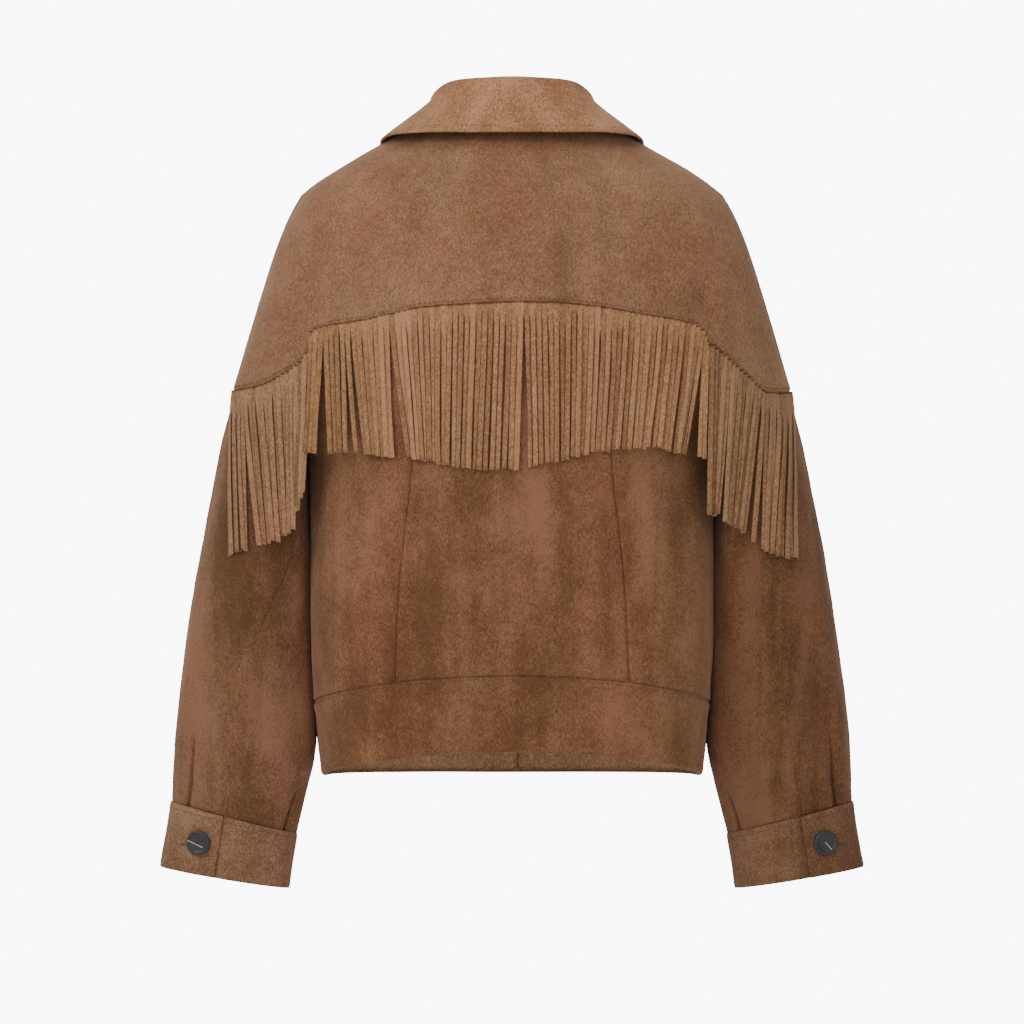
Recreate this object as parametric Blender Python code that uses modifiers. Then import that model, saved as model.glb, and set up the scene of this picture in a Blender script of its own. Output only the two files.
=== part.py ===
"""Fringed cropped jacket: a suede jacket with a yoke that runs over the shoulders onto the upper sleeves,
fringe hung from the yoke seam, a hem band, cuffs and a turned-down collar.

Metres, +Z up. The jacket is filled out as if worn: the front faces -Y, the wearer's left arm is +X,
and the origin is between the shoulders, in the middle of the neck."""

import math
import random
from collections import namedtuple

import bmesh
import bpy
import numpy as np
from mathutils import Vector

# Cloth
SUEDE = 0.0016
CUFF_CLOTH = 0.0026
COLLAR_CLOTH = 0.0024
FRINGE_CLOTH = 0.0012
SEAM_GAP = 0.0003
LAP_STEP = SUEDE + 0.0005

# Yoke seam: an oval round the chest and upper arms, whose height falls from the back to the arms
SEAM_HALF_WIDTH = 0.251
SEAM_BACK_DEPTH = 0.125
SEAM_FRONT_DEPTH = 0.132
SEAM_ARM_Z = -0.229
SEAM_BACK_Z = -0.155
SEAM_FRONT_Z = -0.178

# Armhole: it meets the yoke seam at this share of the seam's half width, and dips to the underarm
ARMHOLE_SHARE = 0.71
UNDERARM_Z = -0.290
UNDERARM_GAP = 0.0006

# The row of the body panels, counted from 0 at the yoke seam to 1 at the band, that ends at the underarm
UNDERARM_ROW = 0.37
YOKE_CLEARANCE = 0.0035

# Hem band
BAND_BACK_Z = -0.480
BAND_SIDE_Z = -0.509
BAND_FRONT_Z = -0.512
HEM_BACK_Z = -0.546
HEM_SIDE_Z = -0.574
HEM_FRONT_Z = -0.578
HEM_ROUNDING = 0.12

# Front opening: the right front laps over the left one
LAP_EDGE_X = 0.025
UNDERLAP_EDGE_X = -0.005
LAP_RAMP = 0.014
LAP_CLEAR = 0.003

# Where the fronts have a line of points: the left one bends down under the right one's edge
OVERLAP_LINES = (LAP_EDGE_X, 0.0145, 0.004)
UNDERLAP_LINES = (UNDERLAP_EDGE_X, 0.012, LAP_EDGE_X + LAP_CLEAR, 0.035, LAP_EDGE_X + LAP_CLEAR + LAP_RAMP)

# Fringe
STRAND_PITCH = 0.0060
STRAND_WIDTH = 0.0053
ROOT_STRIP = 0.009
BACK_FRINGE_REACH = 0.171
SLEEVE_STRAND = 0.148
SLEEVE_SHORTER = 0.030
SLEEVE_FRINGE_SHARE = 0.740

# Buttons
BUTTON_RADIUS = 0.011
BUTTON_THICKNESS = 0.0034
BUTTON_X = 0.010
TOP_BUTTON_Z = -0.125
BUTTON_STEP = 0.084
FRONT_BUTTONS = 6
CUFF_BUTTON_ANGLE = 64.0
CUFF_BUTTON_SHARE = 0.50
BUTTON_LIFT = 0.0005

# One ring of the yoke a row, from the neckline out to the seam
YokeRing = namedtuple("YokeRing", "arm_x arm_z back_y back_z front_y front_z")
YOKE_RINGS = (
    YokeRing(0.0750, 0.016, 0.058, 0.005, 0.080, -0.070),
    YokeRing(0.1000, 0.003, 0.069, -0.006, 0.089, -0.077),
    YokeRing(0.1210, -0.009, 0.081, -0.020, 0.097, -0.086),
    YokeRing(0.1600, -0.0306, 0.098, -0.048, 0.109, -0.103),
    YokeRing(0.1900, -0.051, 0.110, -0.078, 0.118, -0.121),
    YokeRing(0.2070, -0.085, 0.1175, -0.102, 0.1245, -0.138),
    YokeRing(0.2210, -0.128, 0.1225, -0.125, 0.129, -0.155),
    YokeRing(0.2360, -0.178, 0.1245, -0.141, 0.1315, -0.167),
    YokeRing(SEAM_HALF_WIDTH, SEAM_ARM_Z, SEAM_BACK_DEPTH, SEAM_BACK_Z, SEAM_FRONT_DEPTH, SEAM_FRONT_Z),
)

# How the back's strands part into bunches: a strand's place along its strip, and where its tip hangs
Bunch = namedtuple("Bunch", "place tip_x tip_z")
BACK_BUNCHES = (
    Bunch(0.000, -0.1690, -0.2896),
    Bunch(0.022, -0.1655, -0.2896),
    Bunch(0.032, -0.1524, -0.2860),
    Bunch(0.082, -0.1424, -0.2848),
    Bunch(0.110, -0.1315, -0.2800),
    Bunch(0.200, -0.1028, -0.2824),
    Bunch(0.290, -0.0723, -0.2848),
    Bunch(0.360, -0.0505, -0.2896),
    Bunch(0.415, -0.0331, -0.2941),
    Bunch(0.468, -0.0150, -0.2978),
    Bunch(0.470, -0.0078, -0.2996),
    Bunch(0.550, 0.0240, -0.3004),
    Bunch(0.640, 0.0540, -0.2968),
    Bunch(0.700, 0.0714, -0.2930),
    Bunch(0.785, 0.0930, -0.2892),
    Bunch(0.787, 0.1019, -0.2890),
    Bunch(0.886, 0.1298, -0.2856),
    Bunch(0.888, 0.1350, -0.2856),
    Bunch(0.909, 0.1455, -0.2850),
    Bunch(0.960, 0.1610, -0.2847),
    Bunch(1.000, 0.1740, -0.2847),
)

# How far the yoke seam has fallen towards the arm, by its share of the half width
SeamDrop = namedtuple("SeamDrop", "share fallen")
SEAM_DROPS = (
    SeamDrop(0.00, 0.00),
    SeamDrop(0.36, 0.04),
    SeamDrop(0.52, 0.14),
    SeamDrop(0.66, 0.32),
    SeamDrop(0.71, 0.45),
    SeamDrop(0.80, 0.76),
    SeamDrop(0.88, 0.94),
    SeamDrop(1.00, 1.00),
)

# Level sections of the body, from the yoke down: squareness 2 is an ellipse
BodySection = namedtuple("BodySection", "drop half_width depth squareness")
BACK_SECTIONS = (
    BodySection(0.150, 0.251, 0.125, 2.0),
    BodySection(0.189, 0.251, 0.125, 2.0),
    BodySection(0.240, 0.214, 0.126, 2.2),
    BodySection(0.290, 0.184, 0.126, 2.35),
    BodySection(0.310, 0.1832, 0.126, 2.37),
    BodySection(0.360, 0.1815, 0.126, 2.85),
    BodySection(0.430, 0.1815, 0.125, 3.0),
    BodySection(0.509, 0.178, 0.124, 2.9),
    BodySection(0.580, 0.170, 0.122, 2.7),
)
FRONT_SECTIONS = (
    BodySection(0.170, 0.251, 0.132, 2.0),
    BodySection(0.202, 0.251, 0.1325, 2.0),
    BodySection(0.245, 0.214, 0.1355, 2.2),
    BodySection(0.290, 0.184, 0.137, 2.35),
    BodySection(0.360, 0.1815, 0.138, 2.4),
    BodySection(0.430, 0.1815, 0.136, 2.4),
    BodySection(0.509, 0.178, 0.134, 2.4),
    BodySection(0.580, 0.170, 0.131, 2.4),
)

# Sections of the left sleeve, from the yoke seam down to the cuff
SleeveSection = namedtuple("SleeveSection", "down outer_x inner_x inner_z half_depth")
SLEEVE_SECTIONS = (
    SleeveSection(0.000, 0.2510, 0.1850, -0.288, 0.072),
    SleeveSection(0.067, 0.2665, 0.1840, -0.328, 0.070),
    SleeveSection(0.114, 0.2758, 0.1829, -0.366, 0.067),
    SleeveSection(0.168, 0.2850, 0.1828, -0.416, 0.062),
    SleeveSection(0.220, 0.2934, 0.1815, -0.468, 0.057),
    SleeveSection(0.271, 0.3008, 0.1781, -0.524, 0.051),
    SleeveSection(0.296, 0.3032, 0.1757, -0.551, 0.0475),
    SleeveSection(0.320, 0.3049, 0.1805, -0.576, 0.0425),
    SleeveSection(0.367, 0.3066, 0.1936, -0.625, 0.031),
)
SLEEVE_LENGTH = SLEEVE_SECTIONS[-1].down

# How far the sleeve's inner side comes in where the body's front and back curve away from it
SLEEVE_NESTLE = 0.010

# The sleeve's head: how far down it is drawn to the armhole, and its clearances there
SLEEVE_HEAD = 0.110
SLEEVE_HEAD_GAP = 0.0009
SLEEVE_CORNER_GAP = 0.0009
ARMHOLE_ANGLE = 115.0
HEAD_COLUMN = 10.0

# Seams of the left sleeve: the angle round it, 0 at the outer side, 90 at the back, 180 at the body
SleeveSeam = namedtuple("SleeveSeam", "down back_angle front_angle")
SLEEVE_SEAMS = (
    SleeveSeam(0.000, 154.0, -154.0),
    SleeveSeam(0.050, 145.0, -145.0),
    SleeveSeam(0.145, 122.0, -124.0),
    SleeveSeam(0.205, 101.0, -112.0),
    SleeveSeam(0.270, 86.0, -104.0),
    SleeveSeam(0.367, 81.0, -100.0),
)

# Pleats laid in at the cuff, and the long soft folds of the sleeve
PLEAT_SPREAD = 7.0
Pleat = namedtuple("Pleat", "angle reach depth")
CUFF_PLEATS = (Pleat(43.0, 0.125, 0.0028), Pleat(-40.0, 0.100, 0.0024), Pleat(146.0, 0.070, 0.0022))
SleeveFold = namedtuple("SleeveFold", "angle spread middle reach depth")
SLEEVE_FOLDS = (
    SleeveFold(62.0, 13.0, 0.240, 0.110, 0.0035),
    SleeveFold(112.0, 12.0, 0.210, 0.100, 0.0030),
    SleeveFold(-60.0, 15.0, 0.200, 0.120, 0.0035),
    SleeveFold(10.0, 14.0, 0.260, 0.080, 0.0022),
)

# Cuff corners of the left cuff
CUFF_TOP_OUTER = (0.3066, -0.5963)
CUFF_TOP_INNER = (0.1936, -0.6253)
CUFF_HEM_OUTER = (0.3164, -0.6553)
CUFF_HEM_INNER = (0.2007, -0.6750)
CUFF_TOP_DEPTH = 0.0318
CUFF_HEM_DEPTH = 0.0300
CUFF_TAB_ANGLE = 82.0
CUFF_UNDERLAP_ANGLE = 44.0

# Soft vertical folds of the body, as troughs at a place across it
BodyFold = namedtuple("BodyFold", "x spread top foot depth")
BACK_FOLDS = (
    BodyFold(0.088, 0.018, -0.220, -0.470, 0.0035),
    BodyFold(-0.006, 0.016, -0.330, -0.560, 0.0030),
    BodyFold(-0.098, 0.020, -0.260, -0.560, 0.0030),
)
FRONT_FOLDS = (
    BodyFold(0.105, 0.022, -0.230, -0.520, 0.0035),
    BodyFold(-0.095, 0.024, -0.250, -0.540, 0.0035),
    BodyFold(-0.140, 0.016, -0.330, -0.570, 0.0025),
)

# The back's long seams, as distance from the middle
BackSeam = namedtuple("BackSeam", "drop x")
BACK_SEAMS = (BackSeam(0.150, 0.078), BackSeam(0.296, 0.088), BackSeam(0.414, 0.100), BackSeam(0.500, 0.103))

# Collar: its fold and its lower edge, by the angle round the neck, 90 at the back and -90 at the front
CollarStation = namedtuple("CollarStation", "turn fold_x fold_y fold_z edge_x edge_y edge_z")
COLLAR_STATIONS = (
    CollarStation(-82.0, 0.014, -0.083, -0.047, 0.058, -0.126, -0.117),
    CollarStation(-60.0, 0.042, -0.070, -0.016, 0.098, -0.092, -0.070),
    CollarStation(-30.0, 0.065, -0.038, 0.0130, 0.118, -0.046, -0.026),
    CollarStation(0.0, 0.0705, -0.004, 0.0275, 0.1185, 0.000, -0.0045),
    CollarStation(25.0, 0.0640, 0.022, 0.0355, 0.108, 0.040, -0.0020),
    CollarStation(50.0, 0.0490, 0.047, 0.0425, 0.076, 0.067, -0.0010),
    CollarStation(90.0, 0.0, 0.066, 0.0440, 0.0, 0.083, -0.0030),
)
FOLD_RADIUS = 0.0036
COLLAR_LIFT = 0.0009

# Colours of the finishes
SUEDE_COLOUR = (0.245, 0.128, 0.068, 1.0)
FRINGE_COLOUR = (0.285, 0.155, 0.085, 1.0)
BUTTON_COLOUR = (0.020, 0.020, 0.022, 1.0)

COLLECTION = "Fringed cropped jacket"


def curve(stops, values, at):
    """The smooth curve through values at stops, read at any shape of places, with no overshoot."""
    x = np.asarray(stops, float)
    y = np.asarray(values, float)
    at = np.clip(at, x[0], x[-1])
    step = np.diff(x)
    rise = np.diff(y) / step
    both = rise[:-1] * rise[1:]
    inner = np.where(both > 0, 2 * both / np.where(both > 0, rise[:-1] + rise[1:], 1), 0)
    slope = np.concatenate([[rise[0]], inner, [rise[-1]]])
    i = np.clip(np.searchsorted(x, at, side="right") - 1, 0, len(step) - 1)
    t = (at - x[i]) / step[i]
    ahead = t * t * (3 - 2 * t)
    bend = step[i] * t * (1 - t) * ((1 - t) * slope[i] - t * slope[i + 1])
    return y[i] + (y[i + 1] - y[i]) * ahead + bend


def column(table, name):
    return [getattr(row, name) for row in table]


def smooth(t):
    """0 to 1, level at both ends."""
    t = np.clip(t, 0, 1)
    return t * t * (3 - 2 * t)


def seam_fall(share):
    return curve(column(SEAM_DROPS, "share"), column(SEAM_DROPS, "fallen"), share)


def yoke_point(turn, out):
    """A point of the yoke: turn in degrees round the neck, 0 at the left arm and 90 at the back,
    and out from 0 at the neckline to 1 at the seam."""
    levels = np.linspace(0, 1, len(YOKE_RINGS))
    arm_x, arm_z, back_y, back_z, front_y, front_z = (
        curve(levels, column(YOKE_RINGS, name), out) for name in YokeRing._fields
    )
    c, s = np.cos(np.radians(turn)), np.sin(np.radians(turn))
    back = s >= 0
    middle_z = np.where(back, back_z, front_z)
    fall = c * c + (seam_fall(np.abs(c)) - c * c) * out**3
    return np.stack(
        [arm_x * c, np.where(back, back_y, front_y) * s, middle_z + (arm_z - middle_z) * fall], -1
    )


def trough(folds, x, z):
    """How deep the body's soft folds are at x and z."""
    deep = np.zeros(np.broadcast(x, z).shape)
    for fold in folds:
        along = smooth((fold.top - z) / (fold.top - fold.foot) * 2)
        deep = deep + fold.depth * along * np.exp(-(((x - fold.x) / fold.spread) ** 2))
    return deep


def armhole(tau, back):
    """The depth and height of the armhole's edge: tau is 0 at the underarm and 1 at the yoke seam."""
    depth, middle_z = (SEAM_BACK_DEPTH, SEAM_BACK_Z) if back else (SEAM_FRONT_DEPTH, SEAM_FRONT_Z)
    top_y = depth * math.sqrt(1 - ARMHOLE_SHARE**2)
    top_z = middle_z + (SEAM_ARM_Z - middle_z) * seam_fall(ARMHOLE_SHARE)
    angle = np.radians(90 * np.clip(tau, 0, 1))
    return top_y * np.sin(angle), UNDERARM_Z + (top_z - UNDERARM_Z) * (1 - np.cos(angle))


def section_at(z, back):
    table = BACK_SECTIONS if back else FRONT_SECTIONS
    drops = column(table, "drop")
    return (curve(drops, column(table, name), -z) for name in ("half_width", "depth", "squareness"))


def body_edge(v, back):
    """Depth and height of the side edge of a body panel at row v: the armhole, then the side seam."""
    y, z = armhole(1 - v / UNDERARM_ROW, back)
    below = UNDERARM_Z + (BAND_SIDE_Z - UNDERARM_Z) * (v - UNDERARM_ROW) / (1 - UNDERARM_ROW)
    return np.where(v < UNDERARM_ROW, y, 0.0), np.where(v < UNDERARM_ROW, z, below)


def edge_angle(v, back):
    """How far round from the middle the side edge lies at row v, in radians."""
    y, z = body_edge(v, back)
    _, depth, square = section_at(z, back)
    return np.pi / 2 - np.arcsin(np.clip(y / depth, 0, 1) ** (square / 2))


def hem_fall(u):
    """How far the band's seam and hem have fallen from the middle, 0, towards the side, 1: nearly straight
    lines, rounded off in the middle."""
    return (np.hypot(u, HEM_ROUNDING) - HEM_ROUNDING) / (math.hypot(1, HEM_ROUNDING) - HEM_ROUNDING)


def body_point(u, v, back):
    """A point of the left half of the body: u is 0 at the middle and 1 at the side edge, less than 0 past
    the middle, and v is 0 at the yoke seam and 1 at the band."""
    top_z, foot_z = (SEAM_BACK_Z, BAND_BACK_Z) if back else (SEAM_FRONT_Z, BAND_FRONT_Z)
    _, side_z = body_edge(v, back)
    middle_z = top_z + (foot_z - top_z) * v
    top_share = np.abs(np.sin(u * edge_angle(np.zeros_like(v), back)))
    top_fall = seam_fall(top_share) / seam_fall(ARMHOLE_SHARE)
    fall = top_fall + (hem_fall(u) - top_fall) * smooth(v / UNDERARM_ROW)
    z = middle_z + (side_z - middle_z) * fall
    return ring_point(u * edge_angle(v, back), z, back)


def ring_point(angle, z, back):
    """A point of the body's level section at height z, an angle in radians round from the middle."""
    half_width, depth, square = section_at(z, back)
    power = 2 / square
    x = half_width * np.sign(angle) * np.abs(np.sin(angle)) ** power
    y = depth * np.clip(np.cos(angle), 0, 1) ** power
    if back:
        return np.stack([x, y - trough(BACK_FOLDS, x, z), z], -1)
    return np.stack([x, trough(FRONT_FOLDS, x, z) - y, z], -1)


def share_at(x, v, back):
    """The u of body_point that lies at x on row v, found by halving."""
    low, high = np.full_like(v, -1.0), np.full_like(v, 1.0)
    for _ in range(30):
        u = (low + high) / 2
        short = body_point(u, v, back)[..., 0] < x
        low, high = np.where(short, u, low), np.where(short, high, u)
    return (low + high) / 2


def band_point(angle, down, back):
    """A point of the hem band: the angle round from the middle, and down from 0 at its seam to 1."""
    seam_z, hem_z = (BAND_BACK_Z, HEM_BACK_Z) if back else (BAND_FRONT_Z, HEM_FRONT_Z)
    share = hem_fall(angle / (np.pi / 2))
    top = seam_z + (BAND_SIDE_Z - seam_z) * share
    foot = hem_z + (HEM_SIDE_Z - hem_z) * share
    return ring_point(angle, top + (foot - top) * down, back)


def sleeve_tube(angle, down):
    """A point of the sleeve's plain tube, before its head is drawn to the armhole."""
    downs = column(SLEEVE_SECTIONS, "down")
    outer_x, inner_x, inner_z, half_depth = (
        curve(downs, column(SLEEVE_SECTIONS, name), down)
        for name in ("outer_x", "inner_x", "inner_z", "half_depth")
    )
    outer_z = SEAM_ARM_Z - down
    c, s = np.cos(np.radians(angle)), np.sin(np.radians(angle))
    deep = np.zeros(np.broadcast(angle, down).shape)
    for fold in SLEEVE_FOLDS:
        along = np.exp(-(((down - fold.middle) / fold.reach) ** 2))
        deep = deep + fold.depth * along * np.exp(-(((angle - fold.angle) / fold.spread) ** 2))
    for pleat in CUFF_PLEATS:
        along = smooth(1 - (SLEEVE_LENGTH - down) / pleat.reach)
        near = np.abs(angle - pleat.angle)
        deep = deep + pleat.depth * along * np.clip(1 - near / PLEAT_SPREAD, 0, 1)
    half = (outer_x - inner_x) / 2
    below_head = smooth((down - 0.05) / 0.09) * smooth((0.345 - down) / 0.06)
    nestled = np.where(c < 0, (2 * c * s) ** 2, 0) * below_head
    x = (outer_x + inner_x) / 2 + (half - deep) * c - SLEEVE_NESTLE * nestled
    y = (half_depth - deep) * s
    z = (outer_z + inner_z) / 2 + (outer_z - inner_z) / 2 * c
    return np.stack(np.broadcast_arrays(x, y, z), -1)


def armhole_loop(angle):
    """The sleeve's top edge: the yoke seam over the arm, then the armhole under it."""
    back = angle >= 0
    size = np.abs(angle)
    psi = size / ARMHOLE_ANGLE * math.acos(ARMHOLE_SHARE)
    share = np.cos(psi)
    middle_z = np.where(back, SEAM_BACK_Z, SEAM_FRONT_Z)
    depth = np.where(back, SEAM_BACK_DEPTH, -SEAM_FRONT_DEPTH)
    gap = SLEEVE_HEAD_GAP + SLEEVE_CORNER_GAP * smooth(size / ARMHOLE_ANGLE * 2 - 1)
    fallen = middle_z + (SEAM_ARM_Z - middle_z) * seam_fall(share) - gap
    over = np.stack([SEAM_HALF_WIDTH * share, depth * np.sin(psi), fallen], -1)
    tau = (180 - size) / (180 - ARMHOLE_ANGLE)
    under = []
    for side_back in (True, False):
        y, z = armhole(tau, side_back)
        half_width, side_depth, square = section_at(z, side_back)
        x = half_width * (1 - (y / side_depth) ** square) ** (1 / square)
        x = x + UNDERARM_GAP * smooth((1 - tau) * 3)
        z = z - (SLEEVE_HEAD_GAP + SLEEVE_CORNER_GAP) * smooth(tau * 3 - 2)
        under.append(np.stack([x, y if side_back else -y, z], -1))
    below = np.where(back[..., None], under[0], under[1])
    return np.where((size < ARMHOLE_ANGLE)[..., None], over, below)


def sleeve_point(angle, down):
    """A point of the left sleeve: angle in degrees round it, down from the yoke seam in metres."""
    angle, down = np.broadcast_arrays(angle, down)
    pulled = np.clip(1 - down / SLEEVE_HEAD, 0, 1) ** 2
    drawn = armhole_loop(angle) - sleeve_tube(angle, np.zeros_like(down))
    return sleeve_tube(angle, down) + drawn * pulled[..., None]


def cuff_point(angle, down, proud):
    """A point of the left cuff, moved out by proud: angle round it, and down from 0 to 1."""
    rings = []
    for outer, inner, depth in (
        (CUFF_TOP_OUTER, CUFF_TOP_INNER, CUFF_TOP_DEPTH),
        (CUFF_HEM_OUTER, CUFF_HEM_INNER, CUFF_HEM_DEPTH),
    ):
        middle_x, half_x = (outer[0] + inner[0]) / 2, (outer[0] - inner[0]) / 2
        middle_z, half_z = (outer[1] + inner[1]) / 2, (outer[1] - inner[1]) / 2
        c, s = np.cos(np.radians(angle)), np.sin(np.radians(angle))
        rings.append(
            np.stack([middle_x + (half_x + proud) * c, (depth + proud) * s, middle_z + half_z * c], -1)
        )
    return rings[0] + (rings[1] - rings[0]) * np.asarray(down)[..., None]


def material(name, colour, roughness):
    made = bpy.data.materials.new(name)
    made.use_nodes = True
    shader = made.node_tree.nodes["Principled BSDF"]
    shader.inputs["Base Color"].default_value = colour
    shader.inputs["Roughness"].default_value = roughness
    shader.inputs["Metallic"].default_value = 0.0
    made.diffuse_color = colour
    return made


def add_object(name, mesh, finish):
    piece = bpy.data.objects.new(name, mesh)
    piece.data.materials.append(finish)
    bpy.data.collections[COLLECTION].objects.link(piece)
    mesh.shade_smooth()
    mesh.set_sharp_from_angle(angle=math.radians(40))
    return piece


def thicken(piece, thickness):
    wall = piece.modifiers.new("Cloth", "SOLIDIFY")
    wall.thickness = thickness
    wall.offset = -1
    wall.use_even_offset = True


def cloth(name, grid, inside, finish, thickness=SUEDE):
    """A wall of cloth whose outer face has the points of grid, and whose other face is towards inside."""
    rows, columns = grid.shape[:2]
    number = np.arange(rows * columns).reshape(rows, columns)
    quads = np.stack([number[:-1, :-1], number[1:, :-1], number[1:, 1:], number[:-1, 1:]], -1).reshape(-1, 4)
    points = grid.reshape(-1, 3)
    corner = points[quads]
    normal = np.cross(corner[:, 2] - corner[:, 0], corner[:, 3] - corner[:, 1])
    if (normal * (corner.mean(1) - np.asarray(inside))).sum() < 0:
        quads = quads[:, ::-1]
    mesh = bpy.data.meshes.new(name)
    mesh.from_pydata(points.tolist(), [], quads.tolist())
    piece = add_object(name, mesh, finish)
    thicken(piece, thickness)
    return piece


def on_side(grid, side):
    """The left half's points, or their mirror image for side -1."""
    return grid * np.array([side, 1.0, 1.0])


def yoke(finish):
    """The back yoke, which ends at the shoulder line, and the two front yokes, which lap at the middle."""
    out = np.linspace(0.004, 0.9985, 9)[:, None]
    gap = 0.25
    cloth("back_yoke", yoke_point(np.linspace(gap, 180 - gap, 29)[None, :], out), (0, 0, -0.3), finish)
    arm_x = curve(np.linspace(0, 1, len(YOKE_RINGS)), column(YOKE_RINGS, "arm_x"), out)
    for name, start, lines, step in (
        ("front_yoke_left", -gap, UNDERLAP_LINES, LAP_STEP),
        ("front_yoke_right", gap - 180, OVERLAP_LINES, 0.0),
    ):
        near = -np.degrees(np.arccos(np.array(lines)[None, :] / arm_x))
        rest = near[:, -1:] + (start - near[:, -1:]) * np.linspace(0, 1, 15)[None, 1:]
        turn = np.concatenate([near, rest], 1)
        cloth(name, lapped(yoke_point(turn, out), step), (0, 0, -0.3), finish)


def lapped(grid, step):
    """The grid with its part near the front opening moved in by step, under the other front."""
    near = smooth((LAP_EDGE_X + LAP_CLEAR + LAP_RAMP - grid[..., 0]) / LAP_RAMP)
    below = np.gradient(grid, axis=0)
    inward = np.stack([np.zeros_like(near), -below[..., 2], below[..., 1]], -1)
    inward /= np.linalg.norm(inward, axis=-1)[..., None]
    return grid + inward * (step * near)[..., None]


def between(start, end, columns):
    """Columns of values from start to end, each given for every row."""
    return start[:, None] + (end - start)[:, None] * np.linspace(0, 1, columns)[None, :]


def panel(u, v, back):
    """The points of a body panel whose columns lie at these u for every row. Its top stays clear of the
    yoke, the more so towards the armhole, where the cloth turns in under it."""
    clear = YOKE_CLEARANCE * smooth(np.abs(u) * 2 - 0.6) * (1 - v[:, None]) ** 4
    return body_point(u, v[:, None] + clear, back)


def back_panels(finish):
    v = np.linspace(0.001, 0.999, 15)
    middle_z = SEAM_BACK_Z + (BAND_BACK_Z - SEAM_BACK_Z) * v
    seam_x = curve(column(BACK_SEAMS, "drop"), column(BACK_SEAMS, "x"), -middle_z)
    seam = share_at(seam_x, v, True)
    half_gap = 0.0012
    middle = between(half_gap - seam, seam - half_gap, 15)
    cloth("back_centre", panel(middle, v, True), (0, 0, -0.3), finish)
    outer = between(seam + half_gap, np.full_like(v, 1 - half_gap), 9)
    for name, side in (("back_side_left", 1), ("back_side_right", -1)):
        cloth(name, panel(outer * side, v, True), (0, 0, -0.3), finish)


def front_panels(finish):
    v = np.linspace(0.001, 0.999, 15)
    ends = np.full_like(v, 1 - 0.0012)
    for name, side, lines, step in (
        ("front_left", 1, UNDERLAP_LINES, LAP_STEP),
        ("front_right", -1, OVERLAP_LINES, 0.0),
    ):
        near = np.stack([share_at(np.full_like(v, x), v, False) for x in lines], 1)
        rest = between(near[:, -1], ends * side, 12)[:, 1:]
        grid = panel(np.concatenate([near, rest], 1), v, False)
        cloth(name, lapped(grid, step), (0, 0, -0.3), finish)


def hem_band(finish):
    """The band's back, and its two fronts, which lap as the fronts do."""
    down = np.array([0.006, 0.35, 0.7, 1.0])[:, None]
    side_angle = np.radians(90 - 0.12)
    across = np.linspace(-side_angle, side_angle, 25)[None, :]
    cloth("band_back", band_point(across, down, True), (0, 0, -0.54), finish)
    for name, side, lines, step in (
        ("band_left", 1, UNDERLAP_LINES, LAP_STEP),
        ("band_right", -1, OVERLAP_LINES, 0.0),
    ):
        near = share_at(np.array(lines), np.ones(len(lines)), False) * np.pi / 2
        angle = np.concatenate([near, np.linspace(near[-1], side_angle * side, 12)[1:]])
        cloth(name, lapped(band_point(angle[None, :], down, False), step), (0, 0, -0.54), finish)


def sleeve_columns(foot_start, foot_end, head_start, head_end, count):
    """Where a sleeve piece's columns lie, from 0 to 1 across it: evenly, but with a column at each pleat's
    line and its two borders, which are angles at the cuff, and at the armhole's corners in the head."""
    pleats = [p.angle + s for p in CUFF_PLEATS for s in (-PLEAT_SPREAD, 0.0, PLEAT_SPREAD)]
    lines = [(angle - foot_start) / (foot_end - foot_start) for angle in pleats]
    corners = [side * (ARMHOLE_ANGLE - back) for side in (-1, 1) for back in (0, HEAD_COLUMN)]
    lines += [(angle - head_start) / (head_end - head_start) for angle in corners]
    near = 0.35 / count
    lines = [share for share in lines if near < share < 1 - near]
    evenly = np.linspace(0, 1, count)[1:-1]
    plain = [share for share in evenly if all(abs(share - line) > near for line in lines)]
    return np.array(sorted([0.0, 1.0, *plain, *lines]))


def column_angles(start, end, count):
    """The angles of a sleeve piece's columns for every row, between the angles of its two seams."""
    across = sleeve_columns(start[-1, 0], end[-1, 0], start[0, 0], end[0, 0], count)
    return start + (end - start) * across[None, :]


def sleeves(finish):
    """Each sleeve's top sleeve and under sleeve, which meet at a back seam and a front seam."""
    down = np.concatenate([[0.0006], np.linspace(0.014, SLEEVE_LENGTH - SEAM_GAP, 13)])
    downs = column(SLEEVE_SEAMS, "down")
    back_seam = curve(downs, column(SLEEVE_SEAMS, "back_angle"), down)[:, None]
    front_seam = curve(downs, column(SLEEVE_SEAMS, "front_angle"), down)[:, None]
    gap = 0.55
    top = column_angles(front_seam + gap, back_seam - gap, 15)
    under = column_angles(back_seam + gap, front_seam + 360 - gap, 12)
    for side_name, side in (("left", 1), ("right", -1)):
        for piece_name, angle in (("sleeve_top", top), ("sleeve_under", under)):
            wrapped = np.where(angle > 180, angle - 360, angle)
            grid = sleeve_point(wrapped, down[:, None])
            cloth(f"{piece_name}_{side_name}", on_side(grid, side), (0.236 * side, 0, -0.42), finish)


def cuffs(finish):
    """Each cuff is a band round the sleeve's end, whose tab laps over its other end at the back."""
    angle = np.linspace(CUFF_TAB_ANGLE, CUFF_UNDERLAP_ANGLE - 360, 34)[None, :]
    lap = (CUFF_CLOTH + 0.0006) * smooth((-(angle + 360) + CUFF_TAB_ANGLE + 12) / 10)
    down = np.array([0.006, 0.5, 1.0])[:, None]
    for side_name, side in (("left", 1), ("right", -1)):
        grid = cuff_point(angle, down, 0.0009 - lap)
        cloth(f"cuff_{side_name}", on_side(grid, side), (0.2545 * side, 0, -0.638), finish, CUFF_CLOTH)


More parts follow.
